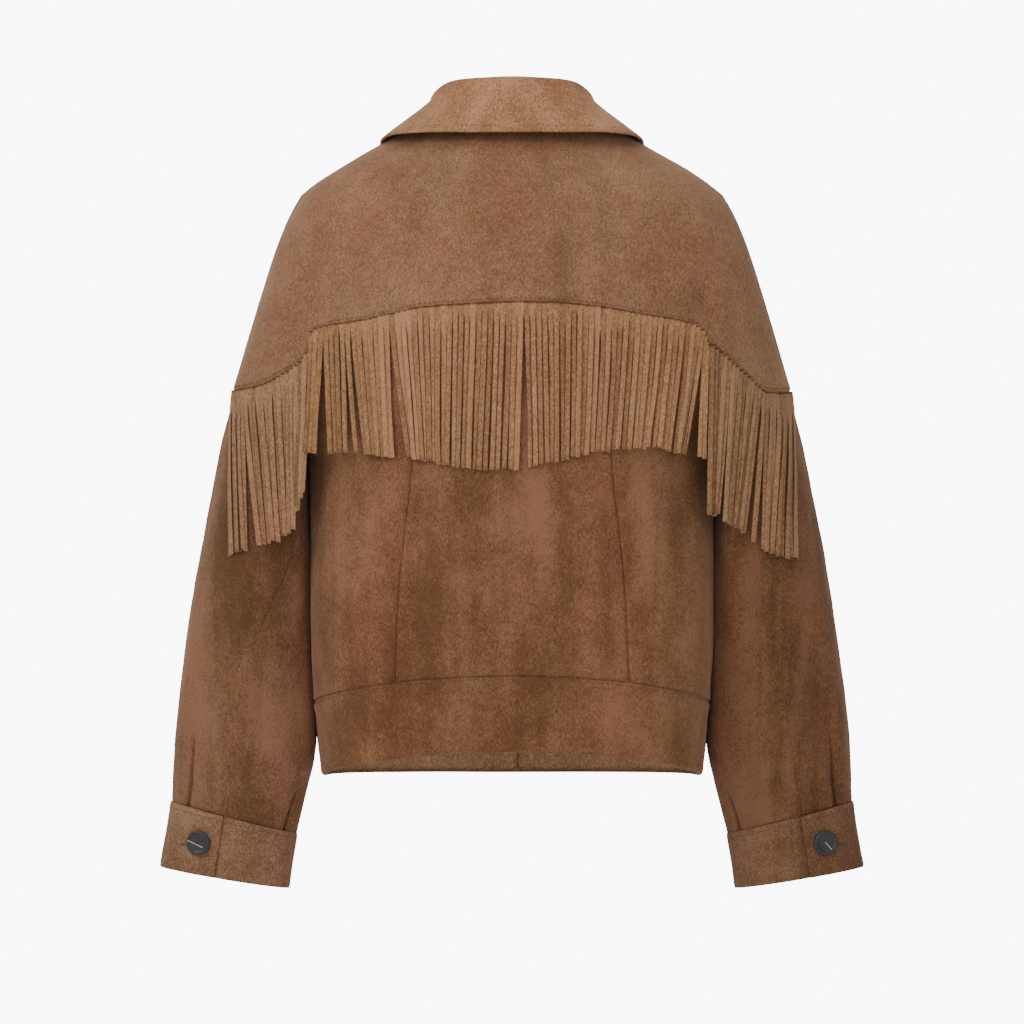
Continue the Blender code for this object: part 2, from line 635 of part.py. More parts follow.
def collar(finish):
    """One folded collar: it stands up from the neckline, turns over at the fold and falls to its edge."""
    near_points = (COLLAR_STATIONS[0].turn, -76, -70, -62, -52)
    half = np.concatenate([near_points, np.linspace(-40, 90, 10)])
    rows = []
    for mirrored in (False, True):
        turns = half if not mirrored else half[::-1][1:]
        turn_stops = column(COLLAR_STATIONS, "turn")
        fx, fy, fz, ex, ey, ez = (
            curve(turn_stops, column(COLLAR_STATIONS, name), turns) for name in CollarStation._fields[1:]
        )
        seam = yoke_point(turns, np.zeros_like(turns)) + np.array([0, 0, COLLAR_LIFT])
        fold, edge = np.stack([fx, fy, fz], -1), np.stack([ex, ey, ez], -1)
        out = edge - fold
        out[:, 2] = 0
        out /= np.linalg.norm(out, axis=1)[:, None]
        inner, outer = fold - out * FOLD_RADIUS, fold + out * FOLD_RADIUS
        seam = seam - out * 0.0006
        up = np.array([0, 0, 1.0])
        strip = np.stack(
            [
                seam,
                seam + (inner - seam) * 0.5,
                inner - up * 0.003,
                inner + (fold - inner) * 0.3 + up * FOLD_RADIUS * 0.75,
                inner + (fold - inner) * 1.7 + up * FOLD_RADIUS * 0.75,
                outer - up * 0.003,
                outer + (edge - outer) * 0.5 - out * 0.0010,
                edge,
            ],
            1,
        )
        rows.append(strip * np.array([-1.0 if mirrored else 1.0, 1, 1]))
    grid = np.concatenate(rows)
    piece = cloth("collar", grid, (0, 0, 0.3), finish, COLLAR_CLOTH)
    return piece


def resampled(line, places):
    """Points of a line at these distances along it."""
    steps = np.linalg.norm(np.diff(line, axis=0), axis=1)
    along = np.concatenate([[0], np.cumsum(steps)])
    return np.stack([np.interp(places, along, line[:, axis]) for axis in range(3)], -1)


def comb(name, strands, finish):
    """Fringe as one cloth: each strand is a pair of edge lines, joined to the next along its root strip."""
    strands = np.asarray(strands)
    count, _, rows, _ = strands.shape
    points = strands.transpose(2, 0, 1, 3).reshape(-1, 3)
    wide = 2 * count
    quads = [(j, wide + j, wide + j + 1, j + 1) for j in range(wide - 1)]
    for row in range(1, rows - 1):
        for j in range(0, wide, 2):
            top = row * wide + j
            quads.append((top, top + wide, top + wide + 1, top + 1))
    mesh = bpy.data.meshes.new(name)
    mesh.from_pydata(points.tolist(), [], quads)
    piece = add_object(name, mesh, finish)
    normal_y = mesh.polygons[wide // 2].normal.y
    if normal_y < 0:
        mesh.flip_normals()
    thicken(piece, FRINGE_CLOTH)
    return piece


def back_fringe(finish):
    """Strands hung from the yoke seam across the back, longest in the middle, their tips in bunches."""
    dice = random.Random(11)
    count = int(2 * BACK_FRINGE_REACH / STRAND_PITCH)
    strands = []
    for i in range(count):
        x = (i + 0.5) * 2 * BACK_FRINGE_REACH / count - BACK_FRINGE_REACH
        share = min(abs(x) / SEAM_HALF_WIDTH, ARMHOLE_SHARE)
        top_z = SEAM_BACK_Z + (SEAM_ARM_Z - SEAM_BACK_Z) * float(seam_fall(share)) - 0.0006
        place = (i + 0.5) / count
        places = column(BACK_BUNCHES, "place")
        end_x = float(np.interp(place, places, column(BACK_BUNCHES, "tip_x")))
        end_z = float(np.interp(place, places, column(BACK_BUNCHES, "tip_z"))) - dice.uniform(0, 0.0015)
        drift = end_x - x + dice.uniform(-0.0005, 0.0005)
        layer = 0.0021 * (i % 2) + dice.uniform(0, 0.0004)
        z = np.array([top_z, top_z - ROOT_STRIP, *np.linspace(top_z - 0.035, end_z, 3)])
        below = np.clip((top_z - ROOT_STRIP - z) / (top_z - end_z), 0, 1)
        middle_x = x + drift * below**1.3
        edges = []
        for side in (-1, 1):
            edge_x = middle_x + side * STRAND_WIDTH / 2
            edges.append(hung_on_back(edge_x, z, layer * smooth(below * 5)))
        strands.append(edges)
    comb("fringe_back", strands, finish)


def hung_on_back(x, z, layer):
    """Points down the back of the body at x and z, moved out by layer, which hang plumb where it recedes."""
    clear = SEAM_GAP + FRINGE_CLOTH + 0.0003
    half_width, depth, square = section_at(z, True)
    y = depth * (1 - (np.abs(x) / half_width) ** square) ** (1 / square)
    lean_x = np.sign(x) * np.abs(x / half_width) ** (square - 1) / half_width
    lean = np.stack([lean_x, (y / depth) ** (square - 1) / depth], -1)
    lean /= np.linalg.norm(lean, axis=-1)[:, None]
    out_y = np.maximum.accumulate(y + lean[:, 1] * clear)
    return np.stack([x + lean[:, 0] * (clear + layer), out_y + lean[:, 1] * layer, z], -1)


def sleeve_fringe(finish):
    """Strands hung from the yoke seam across the back of each upper sleeve."""
    for side_name, side in (("left", 1), ("right", -1)):
        dice = random.Random(23)
        turn_end = math.degrees(math.acos(SLEEVE_FRINGE_SHARE))
        fine = np.linspace(2.0, turn_end, 200)
        seam = yoke_point(fine, np.ones_like(fine))
        along = np.concatenate([[0], np.cumsum(np.linalg.norm(np.diff(seam, axis=0), axis=1))])
        count = int(along[-1] / STRAND_PITCH)
        strands = []
        for i in range(count):
            middle = (i + 0.5) * along[-1] / count
            length = SLEEVE_STRAND - SLEEVE_SHORTER * (middle / along[-1]) ** 2 + dice.uniform(-0.002, 0.002)
            places = np.array([0, ROOT_STRIP, 0.024, 0.046, 0.070, 0.096, length])
            layer = 0.0021 * (i % 2) + dice.uniform(0, 0.0004)
            edges = []
            for edge in (-1, 1):
                start_x = np.interp(middle + edge * STRAND_WIDTH / 2, along, seam[:, 0])
                line = hung_on_sleeve(float(start_x), layer)
                edges.append(resampled(line, places) * np.array([side, 1, 1]))
            strands.append(edges if side < 0 else edges[::-1])
        comb(f"fringe_sleeve_{side_name}", strands[::-1] if side > 0 else strands, finish)


def hung_on_sleeve(start_x, layer):
    """A line down the back of the left sleeve from the yoke seam at start_x, moved out, which hangs plumb
    where the sleeve recedes."""
    down = np.linspace(0.0006, 0.24, 60)
    inner = curve(column(SLEEVE_SECTIONS, "down"), column(SLEEVE_SECTIONS, "inner_x"), down)
    clear_of_body = inner + 0.005 + (start_x - 0.186) * 0.8
    x = start_x + (np.maximum(start_x, clear_of_body) - start_x) * smooth(down / 0.10)
    low, high = np.zeros_like(down), np.full_like(down, 170.0)
    for _ in range(40):
        angle = (low + high) / 2
        beyond = sleeve_point(angle, down)[:, 0] > x
        low, high = np.where(beyond, angle, low), np.where(beyond, high, angle)
    on = sleeve_point(angle, down)
    step = 0.5
    across = sleeve_point(angle + step, down) - sleeve_point(angle - step, down)
    below = sleeve_point(angle, down + 0.001) - sleeve_point(angle, np.maximum(down - 0.001, 0))
    lean = np.cross(across, below)
    lean /= np.linalg.norm(lean, axis=1)[:, None]
    lean *= np.sign((lean * (on - np.array([0.22, 0, -0.3]))).sum(1))[:, None]
    lean[:, 0] = np.maximum(lean[:, 0], 0)
    clear = SEAM_GAP + FRINGE_CLOTH + 0.0003 + 0.0012 * smooth(down / 0.02)
    line = on + lean * clear[:, None]
    line[:, 1] = np.maximum.accumulate(line[:, 1])
    return line + lean * (layer * smooth((down - 0.01) / 0.03))[:, None]


def button(name, place, facing, finish):
    """A turned button: a flat back, a raised rim and a dished face."""
    r, t = BUTTON_RADIUS, BUTTON_THICKNESS
    profile = (
        (0.0, t * 0.64),
        (r * 0.66, t * 0.68),
        (r * 0.84, t),
        (r, t * 0.55),
        (r * 0.93, 0.0),
        (0.0, 0.0),
    )
    mesh = bpy.data.meshes.new(name)
    mesh.from_pydata([(x, 0, z) for x, z in profile], [(i, i + 1) for i in range(len(profile) - 1)], [])
    piece = add_object(name, mesh, finish)
    turn = piece.modifiers.new("Turn", "SCREW")
    turn.steps = turn.render_steps = 14
    turn.use_merge_vertices = True
    turn.merge_threshold = 0.00001
    direction = Vector(facing).normalized()
    piece.rotation_mode = "QUATERNION"
    piece.rotation_quaternion = direction.to_track_quat("Z", "Y")
    piece.location = Vector(place) + direction * BUTTON_LIFT
    return piece


def facing(points):
    """The outward normal at the middle of three points: the middle, one across and one below."""
    middle, across, below = points
    normal = np.cross(across - middle, below - middle)
    return normal / np.linalg.norm(normal)


def buttons(finish):
    for i in range(FRONT_BUTTONS):
        z = TOP_BUTTON_Z - BUTTON_STEP * i
        places = [front_at(BUTTON_X + dx, z + dz) for dx, dz in ((0, 0), (0.004, 0), (0, -0.004))]
        normal = facing(places)
        normal = normal if normal[1] < 0 else -normal
        button(f"button_front_{i + 1}", places[0], normal, finish)
    for side_name, side in (("left", 1), ("right", -1)):
        share = CUFF_BUTTON_SHARE
        places = [
            cuff_point(np.array(CUFF_BUTTON_ANGLE + da), share + dd, 0.0009) * np.array([side, 1, 1])
            for da, dd in ((0, 0), (4, 0), (0, 0.1))
        ]
        normal = facing(places)
        normal = normal if normal[1] > 0 else -normal
        button(f"button_cuff_{side_name}", places[0], normal, finish)


def front_at(x, z):
    """The point of the front's outer face at x and z: on the yoke, on the body or on the band."""
    if z > SEAM_FRONT_Z:
        low, high = 0.0, 1.0
        for _ in range(30):
            out = np.array((low + high) / 2)
            arm_x = curve(np.linspace(0, 1, len(YOKE_RINGS)), column(YOKE_RINGS, "arm_x"), out)
            point = yoke_point(-np.degrees(np.arccos(x / arm_x)), out)
            low, high = (float(out), high) if point[2] > z else (low, float(out))
        return point
    half_width, _, square = (float(value) for value in section_at(np.array(z), False))
    angle = math.asin((abs(x) / half_width) ** (square / 2))
    return ring_point(np.array(angle), np.array(z), False)


def main():
    for old in list(bpy.data.objects):
        bpy.data.objects.remove(old, do_unlink=True)
    bpy.context.scene.collection.children.link(bpy.data.collections.new(COLLECTION))
    suede = material("Suede", SUEDE_COLOUR, 0.95)
    fringe = material("Fringe suede", FRINGE_COLOUR, 0.95)
    horn = material("Dark button", BUTTON_COLOUR, 0.35)
    yoke(suede)
    back_panels(suede)
    front_panels(suede)
    hem_band(suede)
    sleeves(suede)
    cuffs(suede)
    collar(suede)
    back_fringe(fringe)
    sleeve_fringe(fringe)
    buttons(horn)


main()
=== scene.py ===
"""Fringed cropped jacket, dressed for the camera: suede with its nap and folds, topstitching, soft fringe,
buttons with their thread, and the studio that they are photographed in.

Laid out as a Blender add-on: the sizes and colours are in the property groups, each operator makes one
piece or one group of like pieces, and main() runs them in order. Metres, +Z up, the front faces -Y."""

import math
import random
from collections import namedtuple
from functools import cache

import bmesh
import bpy
import numpy as np
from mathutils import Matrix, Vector, noise
from mathutils.bvhtree import BVHTree
from mathutils.kdtree import KDTree


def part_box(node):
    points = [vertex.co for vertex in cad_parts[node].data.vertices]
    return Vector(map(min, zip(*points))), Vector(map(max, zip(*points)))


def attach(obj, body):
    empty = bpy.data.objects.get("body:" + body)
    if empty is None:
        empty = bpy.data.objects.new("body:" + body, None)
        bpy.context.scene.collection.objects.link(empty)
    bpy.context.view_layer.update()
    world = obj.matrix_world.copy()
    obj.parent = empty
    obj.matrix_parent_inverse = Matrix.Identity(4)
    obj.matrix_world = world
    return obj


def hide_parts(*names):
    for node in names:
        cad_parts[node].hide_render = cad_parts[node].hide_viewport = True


bl_info = {
    "name": "Fringed cropped jacket",
    "version": (1, 0, 0),
    "blender": (4, 5, 0),
    "location": "3D View > Sidebar > Jacket",
    "description": "Dresses the packed solids of a fringed suede jacket",
    "category": "Object",
}

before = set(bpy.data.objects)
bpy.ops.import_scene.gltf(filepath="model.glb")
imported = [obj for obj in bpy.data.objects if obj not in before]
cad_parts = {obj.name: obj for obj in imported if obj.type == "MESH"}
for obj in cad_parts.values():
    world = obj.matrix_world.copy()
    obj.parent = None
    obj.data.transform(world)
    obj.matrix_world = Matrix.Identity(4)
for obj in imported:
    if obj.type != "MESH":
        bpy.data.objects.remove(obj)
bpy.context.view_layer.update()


def table(kind, *rows):
    """Rows of one kind of named tuple, from plain ones."""
    return tuple(kind(*row) for row in rows)


# Each cloth piece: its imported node, the middle of the hollow it lies round, and its cut before sewing
ClothPiece = namedtuple("ClothPiece", "node hollow width length area")
BODY_HOLLOW = (0.0, 0.0, -0.35)
YOKE_PIECES = table(
    ClothPiece,
    ("back_yoke", (0.0, 0.0, -0.25), 0.640, 0.300, 0.106),
    ("front_yoke_left", (0.0, 0.0, -0.25), 0.340, 0.290, 0.053),
    ("front_yoke_right", (0.0, 0.0, -0.25), 0.355, 0.290, 0.055),
)
BODY_PIECES = table(
    ClothPiece,
    ("back_centre", BODY_HOLLOW, 0.210, 0.330, 0.060),
    ("back_side_left", BODY_HOLLOW, 0.180, 0.345, 0.045),
    ("back_side_right", BODY_HOLLOW, 0.180, 0.345, 0.045),
    ("front_left", BODY_HOLLOW, 0.265, 0.335, 0.080),
    ("front_right", BODY_HOLLOW, 0.295, 0.335, 0.087),
    ("band_back", (0.0, 0.0, -0.54), 0.480, 0.067, None),
    ("band_left", (0.0, 0.0, -0.54), 0.256, 0.067, None),
    ("band_right", (0.0, 0.0, -0.54), 0.284, 0.067, None),
)
ARM = 0.242
SLEEVE_PIECES = table(
    ClothPiece,
    ("sleeve_top_left", (ARM, 0.0, -0.42), 0.260, 0.395, 0.083),
    ("sleeve_under_left", (ARM, 0.0, -0.42), 0.180, 0.355, 0.046),
    ("sleeve_top_right", (-ARM, 0.0, -0.42), 0.260, 0.395, 0.083),
    ("sleeve_under_right", (-ARM, 0.0, -0.42), 0.180, 0.355, 0.046),
)
CUFF_PIECES = table(
    ClothPiece,
    ("cuff_left", (0.2545, 0.0, -0.638), 0.300, 0.060, None),
    ("cuff_right", (-0.2545, 0.0, -0.638), 0.300, 0.060, None),
)
COLLAR_PIECE = ClothPiece("collar", (0.0, 0.0, -0.40), 0.560, 0.130, 0.055)

# The angles from which an edge of a solid, a corner of a sheet's border and an edge of a finished piece count
# as sharp, and how flat two triangles must lie, and how square they must be, to join into one face
SHARP = math.radians(62)
SHARP_CORNER = math.radians(28)
SHARP_FINISH = math.radians(50)
JOINED_FLAT = math.radians(38)
JOINED_SQUARE = math.radians(60)

# Soft folds that hang or strain across the cloth, from one end to the other as x and z
Fold = namedtuple("Fold", "x z end_x end_z spread depth")
BACK_FOLDS = table(
    Fold,
    (0.174, -0.085, 0.178, -0.182, 0.009, 0.0036), (0.184, -0.110, 0.196, -0.190, 0.007, 0.0020),
    (-0.166, -0.110, -0.172, -0.185, 0.009, 0.0034), (-0.192, -0.120, -0.205, -0.200, 0.008, 0.0018),
    (0.070, -0.060, 0.050, -0.145, 0.018, 0.0016), (-0.078, -0.065, -0.064, -0.150, 0.020, 0.0018),
    (0.000, -0.080, 0.006, -0.150, 0.022, 0.0012), (0.083, -0.300, 0.090, -0.475, 0.012, 0.0030),
    (0.060, -0.330, 0.056, -0.460, 0.011, 0.0018), (0.028, -0.320, 0.018, -0.478, 0.012, 0.0022),
    (-0.008, -0.350, -0.010, -0.470, 0.010, 0.0020), (-0.046, -0.330, -0.058, -0.465, 0.013, 0.0022),
    (-0.088, -0.300, -0.101, -0.478, 0.011, 0.0026), (-0.118, -0.330, -0.121, -0.500, 0.009, 0.0018),
    (-0.148, -0.310, -0.143, -0.490, 0.010, 0.0020), (0.128, -0.320, 0.136, -0.500, 0.012, 0.0020),
    (0.152, -0.380, 0.168, -0.515, 0.008, 0.0018), (-0.030, -0.430, 0.040, -0.452, 0.010, 0.0012),
    (0.100, -0.500, 0.094, -0.560, 0.010, 0.0012), (-0.060, -0.498, -0.066, -0.552, 0.012, 0.0012),
    (0.262, -0.330, 0.276, -0.560, 0.010, 0.0030), (0.240, -0.360, 0.262, -0.500, 0.008, 0.0022),
    (0.215, -0.400, 0.224, -0.590, 0.009, 0.0026), (0.282, -0.470, 0.270, -0.600, 0.008, 0.0024),
    (0.205, -0.430, 0.245, -0.470, 0.008, 0.0016), (0.292, -0.520, 0.286, -0.606, 0.006, 0.0024),
    (0.250, -0.565, 0.246, -0.612, 0.006, 0.0018), (-0.258, -0.340, -0.270, -0.540, 0.010, 0.0030),
    (-0.228, -0.340, -0.252, -0.470, 0.008, 0.0024), (-0.206, -0.380, -0.236, -0.560, 0.009, 0.0030),
    (-0.284, -0.450, -0.274, -0.600, 0.008, 0.0024), (-0.262, -0.500, -0.292, -0.540, 0.008, 0.0014),
    (-0.240, -0.555, -0.238, -0.612, 0.006, 0.0018), (-0.290, -0.545, -0.287, -0.606, 0.006, 0.0024),
)
FRONT_FOLDS = table(
    Fold,
    (0.110, -0.240, 0.098, -0.480, 0.013, 0.0030), (0.060, -0.300, 0.052, -0.490, 0.012, 0.0020),
    (0.148, -0.300, 0.156, -0.500, 0.010, 0.0024), (-0.112, -0.260, -0.120, -0.480, 0.013, 0.0030),
    (-0.058, -0.310, -0.050, -0.470, 0.012, 0.0018), (-0.150, -0.280, -0.146, -0.500, 0.009, 0.0022),
    (0.165, -0.110, 0.180, -0.195, 0.010, 0.0030), (-0.165, -0.115, -0.178, -0.200, 0.010, 0.0030),
    (0.080, -0.110, 0.120, -0.170, 0.018, 0.0016), (-0.082, -0.115, -0.115, -0.172, 0.018, 0.0016),
    (0.250, -0.300, 0.280, -0.520, 0.011, 0.0032), (0.222, -0.330, 0.244, -0.540, 0.009, 0.0026),
    (0.205, -0.300, 0.262, -0.380, 0.010, 0.0022), (0.285, -0.500, 0.278, -0.604, 0.008, 0.0022),
    (-0.250, -0.310, -0.276, -0.540, 0.011, 0.0032), (-0.220, -0.340, -0.236, -0.520, 0.009, 0.0026),
    (-0.206, -0.310, -0.255, -0.400, 0.010, 0.0022), (-0.288, -0.490, -0.280, -0.604, 0.008, 0.0022),
)

# How each group of cloths meets its neighbours: how far its border grows, how deep it rolls in at a seam,
# and how far it swells beside it
Border = namedtuple("Border", "growth roll swell")
YOKE_BORDER = Border(0.0006, 0.0017, 0.0010)
BODY_BORDER = Border(0.0009, 0.0024, 0.0007)
SLEEVE_BORDER = Border(0.0016, 0.0009, 0.0003)
CUFF_BORDER = Border(0.0002, 0.0005, 0.0003)

# Rings of narrow faces along each border, by their distance from it, and how wide the roll and swell are
BORDER_RINGS = (0.0040, 0.0013)
ROLL_SPREAD = 0.0010
SWELL_PLACE = 0.0045
SWELL_SPREAD = 0.0030

# How much the collar's lower edge waves
COLLAR_SWAY = 0.0012

# How far the inner side of each sleeve lies over against the body, and between which heights
NESTLE = 0.0020
NESTLE_TOP = -0.300
NESTLE_FOOT = -0.575
NESTLE_FADE = 0.03

# The small waves all over the cloth, and how near a border they calm down and the placed folds fade
Waves = namedtuple("Waves", "scale seed strength")
SMALL_WAVES = table(Waves, (30.0, 3.1, 1.0), (75.0, 9.4, 0.5))
CALM_BORDER = 0.012
FOLD_BORDER = 0.02

# The pleats above the cuffs, which are folds in the solids: how sharply one turns before it is pressed in
# along its line, how deep that line goes in full, and how wide it is there as a share of a column
PLEAT_TURN = math.radians(4)
PLEAT_FULL_TURN = math.radians(16)
PLEAT_TOP = -0.400
PLEAT_DEPTH = 0.0028
PLEAT_WIDTH = 0.30

# Where the yoke seam across the back runs above or below the smooth line of the solids
SeamLift = namedtuple("SeamLift", "x lift")
SEAM_LIFTS = table(
    SeamLift,
    (-0.2490, -0.0020), (-0.2340, -0.0050), (-0.2231, -0.0062), (-0.2166, -0.0034), (-0.2075, -0.0005),
    (-0.1921, -0.0006), (-0.1820, -0.0025), (-0.1712, -0.0049), (-0.1693, 0.0021), (-0.1668, 0.0042),
    (-0.1617, 0.0047), (-0.1542, 0.0034), (-0.1367, 0.0002), (-0.1120, -0.0027), (-0.0769, -0.0004),
    (-0.0419, 0.0018), (0.0000, 0.0014), (0.0366, 0.0006), (0.0804, -0.0006), (0.1071, -0.0038),
    (0.1296, -0.0036), (0.1499, 0.0001), (0.1693, 0.0075), (0.1767, 0.0088), (0.1785, 0.0046),
    (0.1818, -0.0092), (0.1877, -0.0078), (0.1981, -0.0047), (0.2109, -0.0012), (0.2490, 0.0),
)

# How the strands part into bunches: a strand's place along its strip, and where its tip hangs
Strand = namedtuple("Strand", "place tip_x tip_z")
BACK_STRANDS = table(
    Strand,
    (0.000, 0.1829, -0.2847), (0.038, 0.1725, -0.2847), (0.040, 0.1629, -0.2847), (0.091, 0.1455, -0.2850),
    (0.093, 0.1411, -0.2850), (0.112, 0.1350, -0.2856), (0.114, 0.1298, -0.2856), (0.213, 0.1019, -0.2890),
    (0.215, 0.0915, -0.2892), (0.300, 0.0714, -0.2930), (0.360, 0.0540, -0.2968), (0.450, 0.0240, -0.3004),
    (0.530, -0.0078, -0.2996), (0.532, -0.0150, -0.2978), (0.585, -0.0331, -0.2941),
    (0.640, -0.0505, -0.2896), (0.710, -0.0723, -0.2848), (0.800, -0.1028, -0.2824),
    (0.890, -0.1315, -0.2796), (0.892, -0.1330, -0.2830), (0.916, -0.1391, -0.2836),
    (0.918, -0.1424, -0.2848), (0.968, -0.1524, -0.2860), (0.978, -0.1655, -0.2896),
    (1.000, -0.1710, -0.2900),
)
LEFT_STRANDS = table(
    Strand,
    (0.00, 0.2512, -0.3752), (0.30, 0.2352, -0.3700), (0.32, 0.2246, -0.3665), (0.44, 0.2177, -0.3650),
    (0.46, 0.2140, -0.3636), (0.60, 0.2052, -0.3628), (0.62, 0.2025, -0.3590), (0.80, 0.1945, -0.3540),
    (0.82, 0.1908, -0.3400), (1.00, 0.1845, -0.3180),
)
RIGHT_STRANDS = table(
    Strand,
    (0.00, -0.2546, -0.3778), (0.13, -0.2458, -0.3770), (0.15, -0.2397, -0.3770), (0.45, -0.2195, -0.3690),
    (0.47, -0.2062, -0.3558), (0.80, -0.1858, -0.3440), (0.82, -0.1805, -0.3400), (1.00, -0.1735, -0.3390),
)

# The strands: their pitch and size, their gap to the cloth, the uncut strip that they hang from and how far
# it is tucked up under the yoke, their points along and across, and the most that a face turns inwards
STRAND_PITCH = 0.0052
STRAND_WIDTH = 0.0049
STRAND_THICKNESS = 0.0011
STRAND_GAP = 0.0016
ROOT_STRIP = 0.0045
ROOT_TUCK = 0.0004
STRAND_ROWS = 25
STRAND_COLUMNS = (-1.0, -0.76, 0.0, 0.76, 1.0)
INWARD_LEAN = 0.25

# How the strands differ: where the tip strays, across and then down and up, how far every other strand lies
# over its neighbours, its twist, width, tone, how its face is hollowed, how far down its slit starts, and how
# far its tip is cut askew
TIP_ASIDE = 0.0008
TIP_BELOW = 0.0014
TIP_ABOVE = 0.0010
OVERLAP = 0.0013
LAY_STRAY = 0.0005
TWIST = 0.42
WIDTH_RANGE = (0.90, 1.08)
TONE_STRAY = 0.30
HOLLOWS = (0.0005, 0.0005, 0.0003, -0.0003)
SLIT_STRAY = 0.16
TIP_SLANT = 0.0006

Fringe = namedtuple("Fringe", "node cloths strands first_x last_x")
FRINGES = table(
    Fringe,
    ("fringe_back", ("back_centre", "back_side_left", "back_side_right"), BACK_STRANDS, 0.1775, -0.1715),
    ("fringe_sleeve_left", ("sleeve_top_left", "sleeve_under_left"), LEFT_STRANDS, 0.2500, 0.1805),
    ("fringe_sleeve_right", ("sleeve_top_right", "sleeve_under_right"), RIGHT_STRANDS, -0.2500, -0.1735),
)

# Rows of topstitching: the piece they lie on, the edges they follow, and how far in from the edge
StitchRow = namedtuple("StitchRow", "name node low high inset")
STITCH_ROWS = table(
    StitchRow,
    ("back_yoke", "back_yoke", (-0.30, 0.004, -0.240), (0.30, 0.2, -0.150), 0.0062),
    ("front_yoke_left", "front_yoke_left", (0.000, -0.2, -0.240), (0.30, -0.004, -0.172), 0.0062),
    ("front_yoke_right", "front_yoke_right", (-0.30, -0.2, -0.240), (0.02, -0.004, -0.172), 0.0062),
    ("band_back", "band_back", (-0.176, 0.01, -0.512), (0.176, 0.2, -0.470), 0.0062),
    ("band_left", "band_left", (0.000, -0.2, -0.515), (0.176, -0.01, -0.500), 0.0062),
    ("band_right", "band_right", (-0.176, -0.2, -0.515), (0.021, -0.01, -0.500), 0.0062),
    ("front_edge", "front_right", (0.020, -0.2, -0.520), (0.03, -0.1, -0.170), 0.0060),
    ("front_edge_yoke", "front_yoke_right", (0.020, -0.2, -0.172), (0.03, -0.05, -0.068), 0.0060),
    ("front_edge_band", "band_right", (0.020, -0.2, -0.574), (0.03, -0.1, -0.512), 0.0060),
    ("collar", "collar", (-0.13, -0.11, -0.119), (0.13, 0.12, 0.004), 0.0060),
    ("cuff_left", "cuff_left", (0.10, -0.2, -0.626), (0.40, 0.2, -0.590), 0.0050),
    ("cuff_right", "cuff_right", (-0.40, -0.2, -0.626), (-0.10, 0.2, -0.590), 0.0050),
)

# How each part of the jacket takes the suede: its tone in red, green and blue, how cloudy and streaked it
# is, and how far its hue goes from reddish to olive. Each tone is painted light and shade on one suede
# colour:
# the yoke and collar lighter as if lit from above, the body and sleeves darker below them, the right sleeve,
# cuff and fringe darker still as if turned from the light, and the fringes lighter to make up for the painted
# shade at their strands' edges
SuedeShadeAndNap = namedtuple("SuedeShadeAndNap", "name tone cloudiness streaks hue")
YOKE_SUEDE = SuedeShadeAndNap("Suede yoke", (1.05, 1.01, 1.03), 1.3, 0.5, 0.8)
BODY_SUEDE = SuedeShadeAndNap("Suede body", (0.79, 0.69, 0.64), 1.7, 2.0, 0.7)
LEFT_SLEEVE_SUEDE = SuedeShadeAndNap("Suede left sleeve", (0.72, 0.65, 0.64), 1.6, 2.4, 0.9)
RIGHT_SLEEVE_SUEDE = SuedeShadeAndNap("Suede right sleeve", (0.58, 0.51, 0.47), 1.6, 2.5, 1.1)
LEFT_CUFF_SUEDE = SuedeShadeAndNap("Suede left cuff", (0.99, 1.01, 1.13), 1.8, 0.9, 0.9)
RIGHT_CUFF_SUEDE = SuedeShadeAndNap("Suede right cuff", (0.69, 0.68, 0.70), 1.8, 0.9, 0.9)
COLLAR_SUEDE = SuedeShadeAndNap("Suede collar", (1.52, 1.47, 1.45), 2.0, 0.6, 0.6)
FRINGE_SUEDES = table(
    SuedeShadeAndNap,
    ("Suede back fringe", (1.45, 1.40, 1.32), 0.6, 0.4, 0.5),
    ("Suede left fringe", (1.31, 1.31, 1.36), 0.6, 0.4, 0.5),
    ("Suede right fringe", (1.13, 1.14, 1.10), 0.6, 0.4, 0.5),
)
# The inside is the paler flesh side of the suede, made lighter still by painted light where it lies in shade
# within the hem
INNER_SUEDE = SuedeShadeAndNap("Suede inside", (1.75, 1.95, 2.15), 0.8, 0.3, 0.3)

# The olive and reddish tints that the suede's hue moves between
OLIVE_TINT = (0.88, 0.93, 0.86)
WARM_TINT = (1.0, 0.93, 0.94)

# How high the stitches lie on the cloth, and a buttonhole's pitch, stitch length and thread, half its width,
# its own height and its points along
STITCH_LIFT = 0.00015
BUTTONHOLE_STITCH = (0.0008, 0.0011, 0.0008)
BUTTONHOLE_HALF = 0.0008
BUTTONHOLE_LIFT = 0.0001
BUTTONHOLE_POINTS = 12

# Buttonholes: the button, the cloths that the hole may lie on, and how far and which way it reaches from the
# button's middle
Buttonhole = namedtuple("Buttonhole", "button cloths reach way")
BUTTONHOLES = (
    *(
        Buttonhole(f"button_front_{i}", ("front_yoke_right", "front_right", "band_right"), 0.0175, (-1, 0, 0))
        for i in range(1, 7)
    ),
    Buttonhole("button_cuff_left", ("cuff_left",), 0.0190, (1, -0.35, -0.1)),
    Buttonhole("button_cuff_right", ("cuff_right",), 0.0215, (-1, -0.35, -0.1)),
)

# A button's outline from its middle round the rim to its back, and its face alone, as shares of its radius
# outwards and of its height upwards, and the thread that holds it
BUTTON_HEIGHT = 0.0034
BUTTON_PROFILE = (
    (0.00, 0.58), (0.30, 0.58), (0.56, 0.60), (0.66, 0.66), (0.74, 0.86), (0.81, 0.98), (0.88, 1.00),
    (0.95, 0.90), (1.00, 0.62), (0.99, 0.34), (0.92, 0.06), (0.84, 0.00), (0.0, 0.0),
)
BUTTON_FACE = ((0.0, 0.58), (0.56, 0.60), (0.66, 0.66), (0.74, 0.86), (0.81, 0.98), (0.90, 1.0))
SEWN_THREAD = (0.46, 0.43, 0.40)
SEWN_RADIUS = 0.00045
SEWN_RISE = 0.0004
SEWN_POINTS = 13

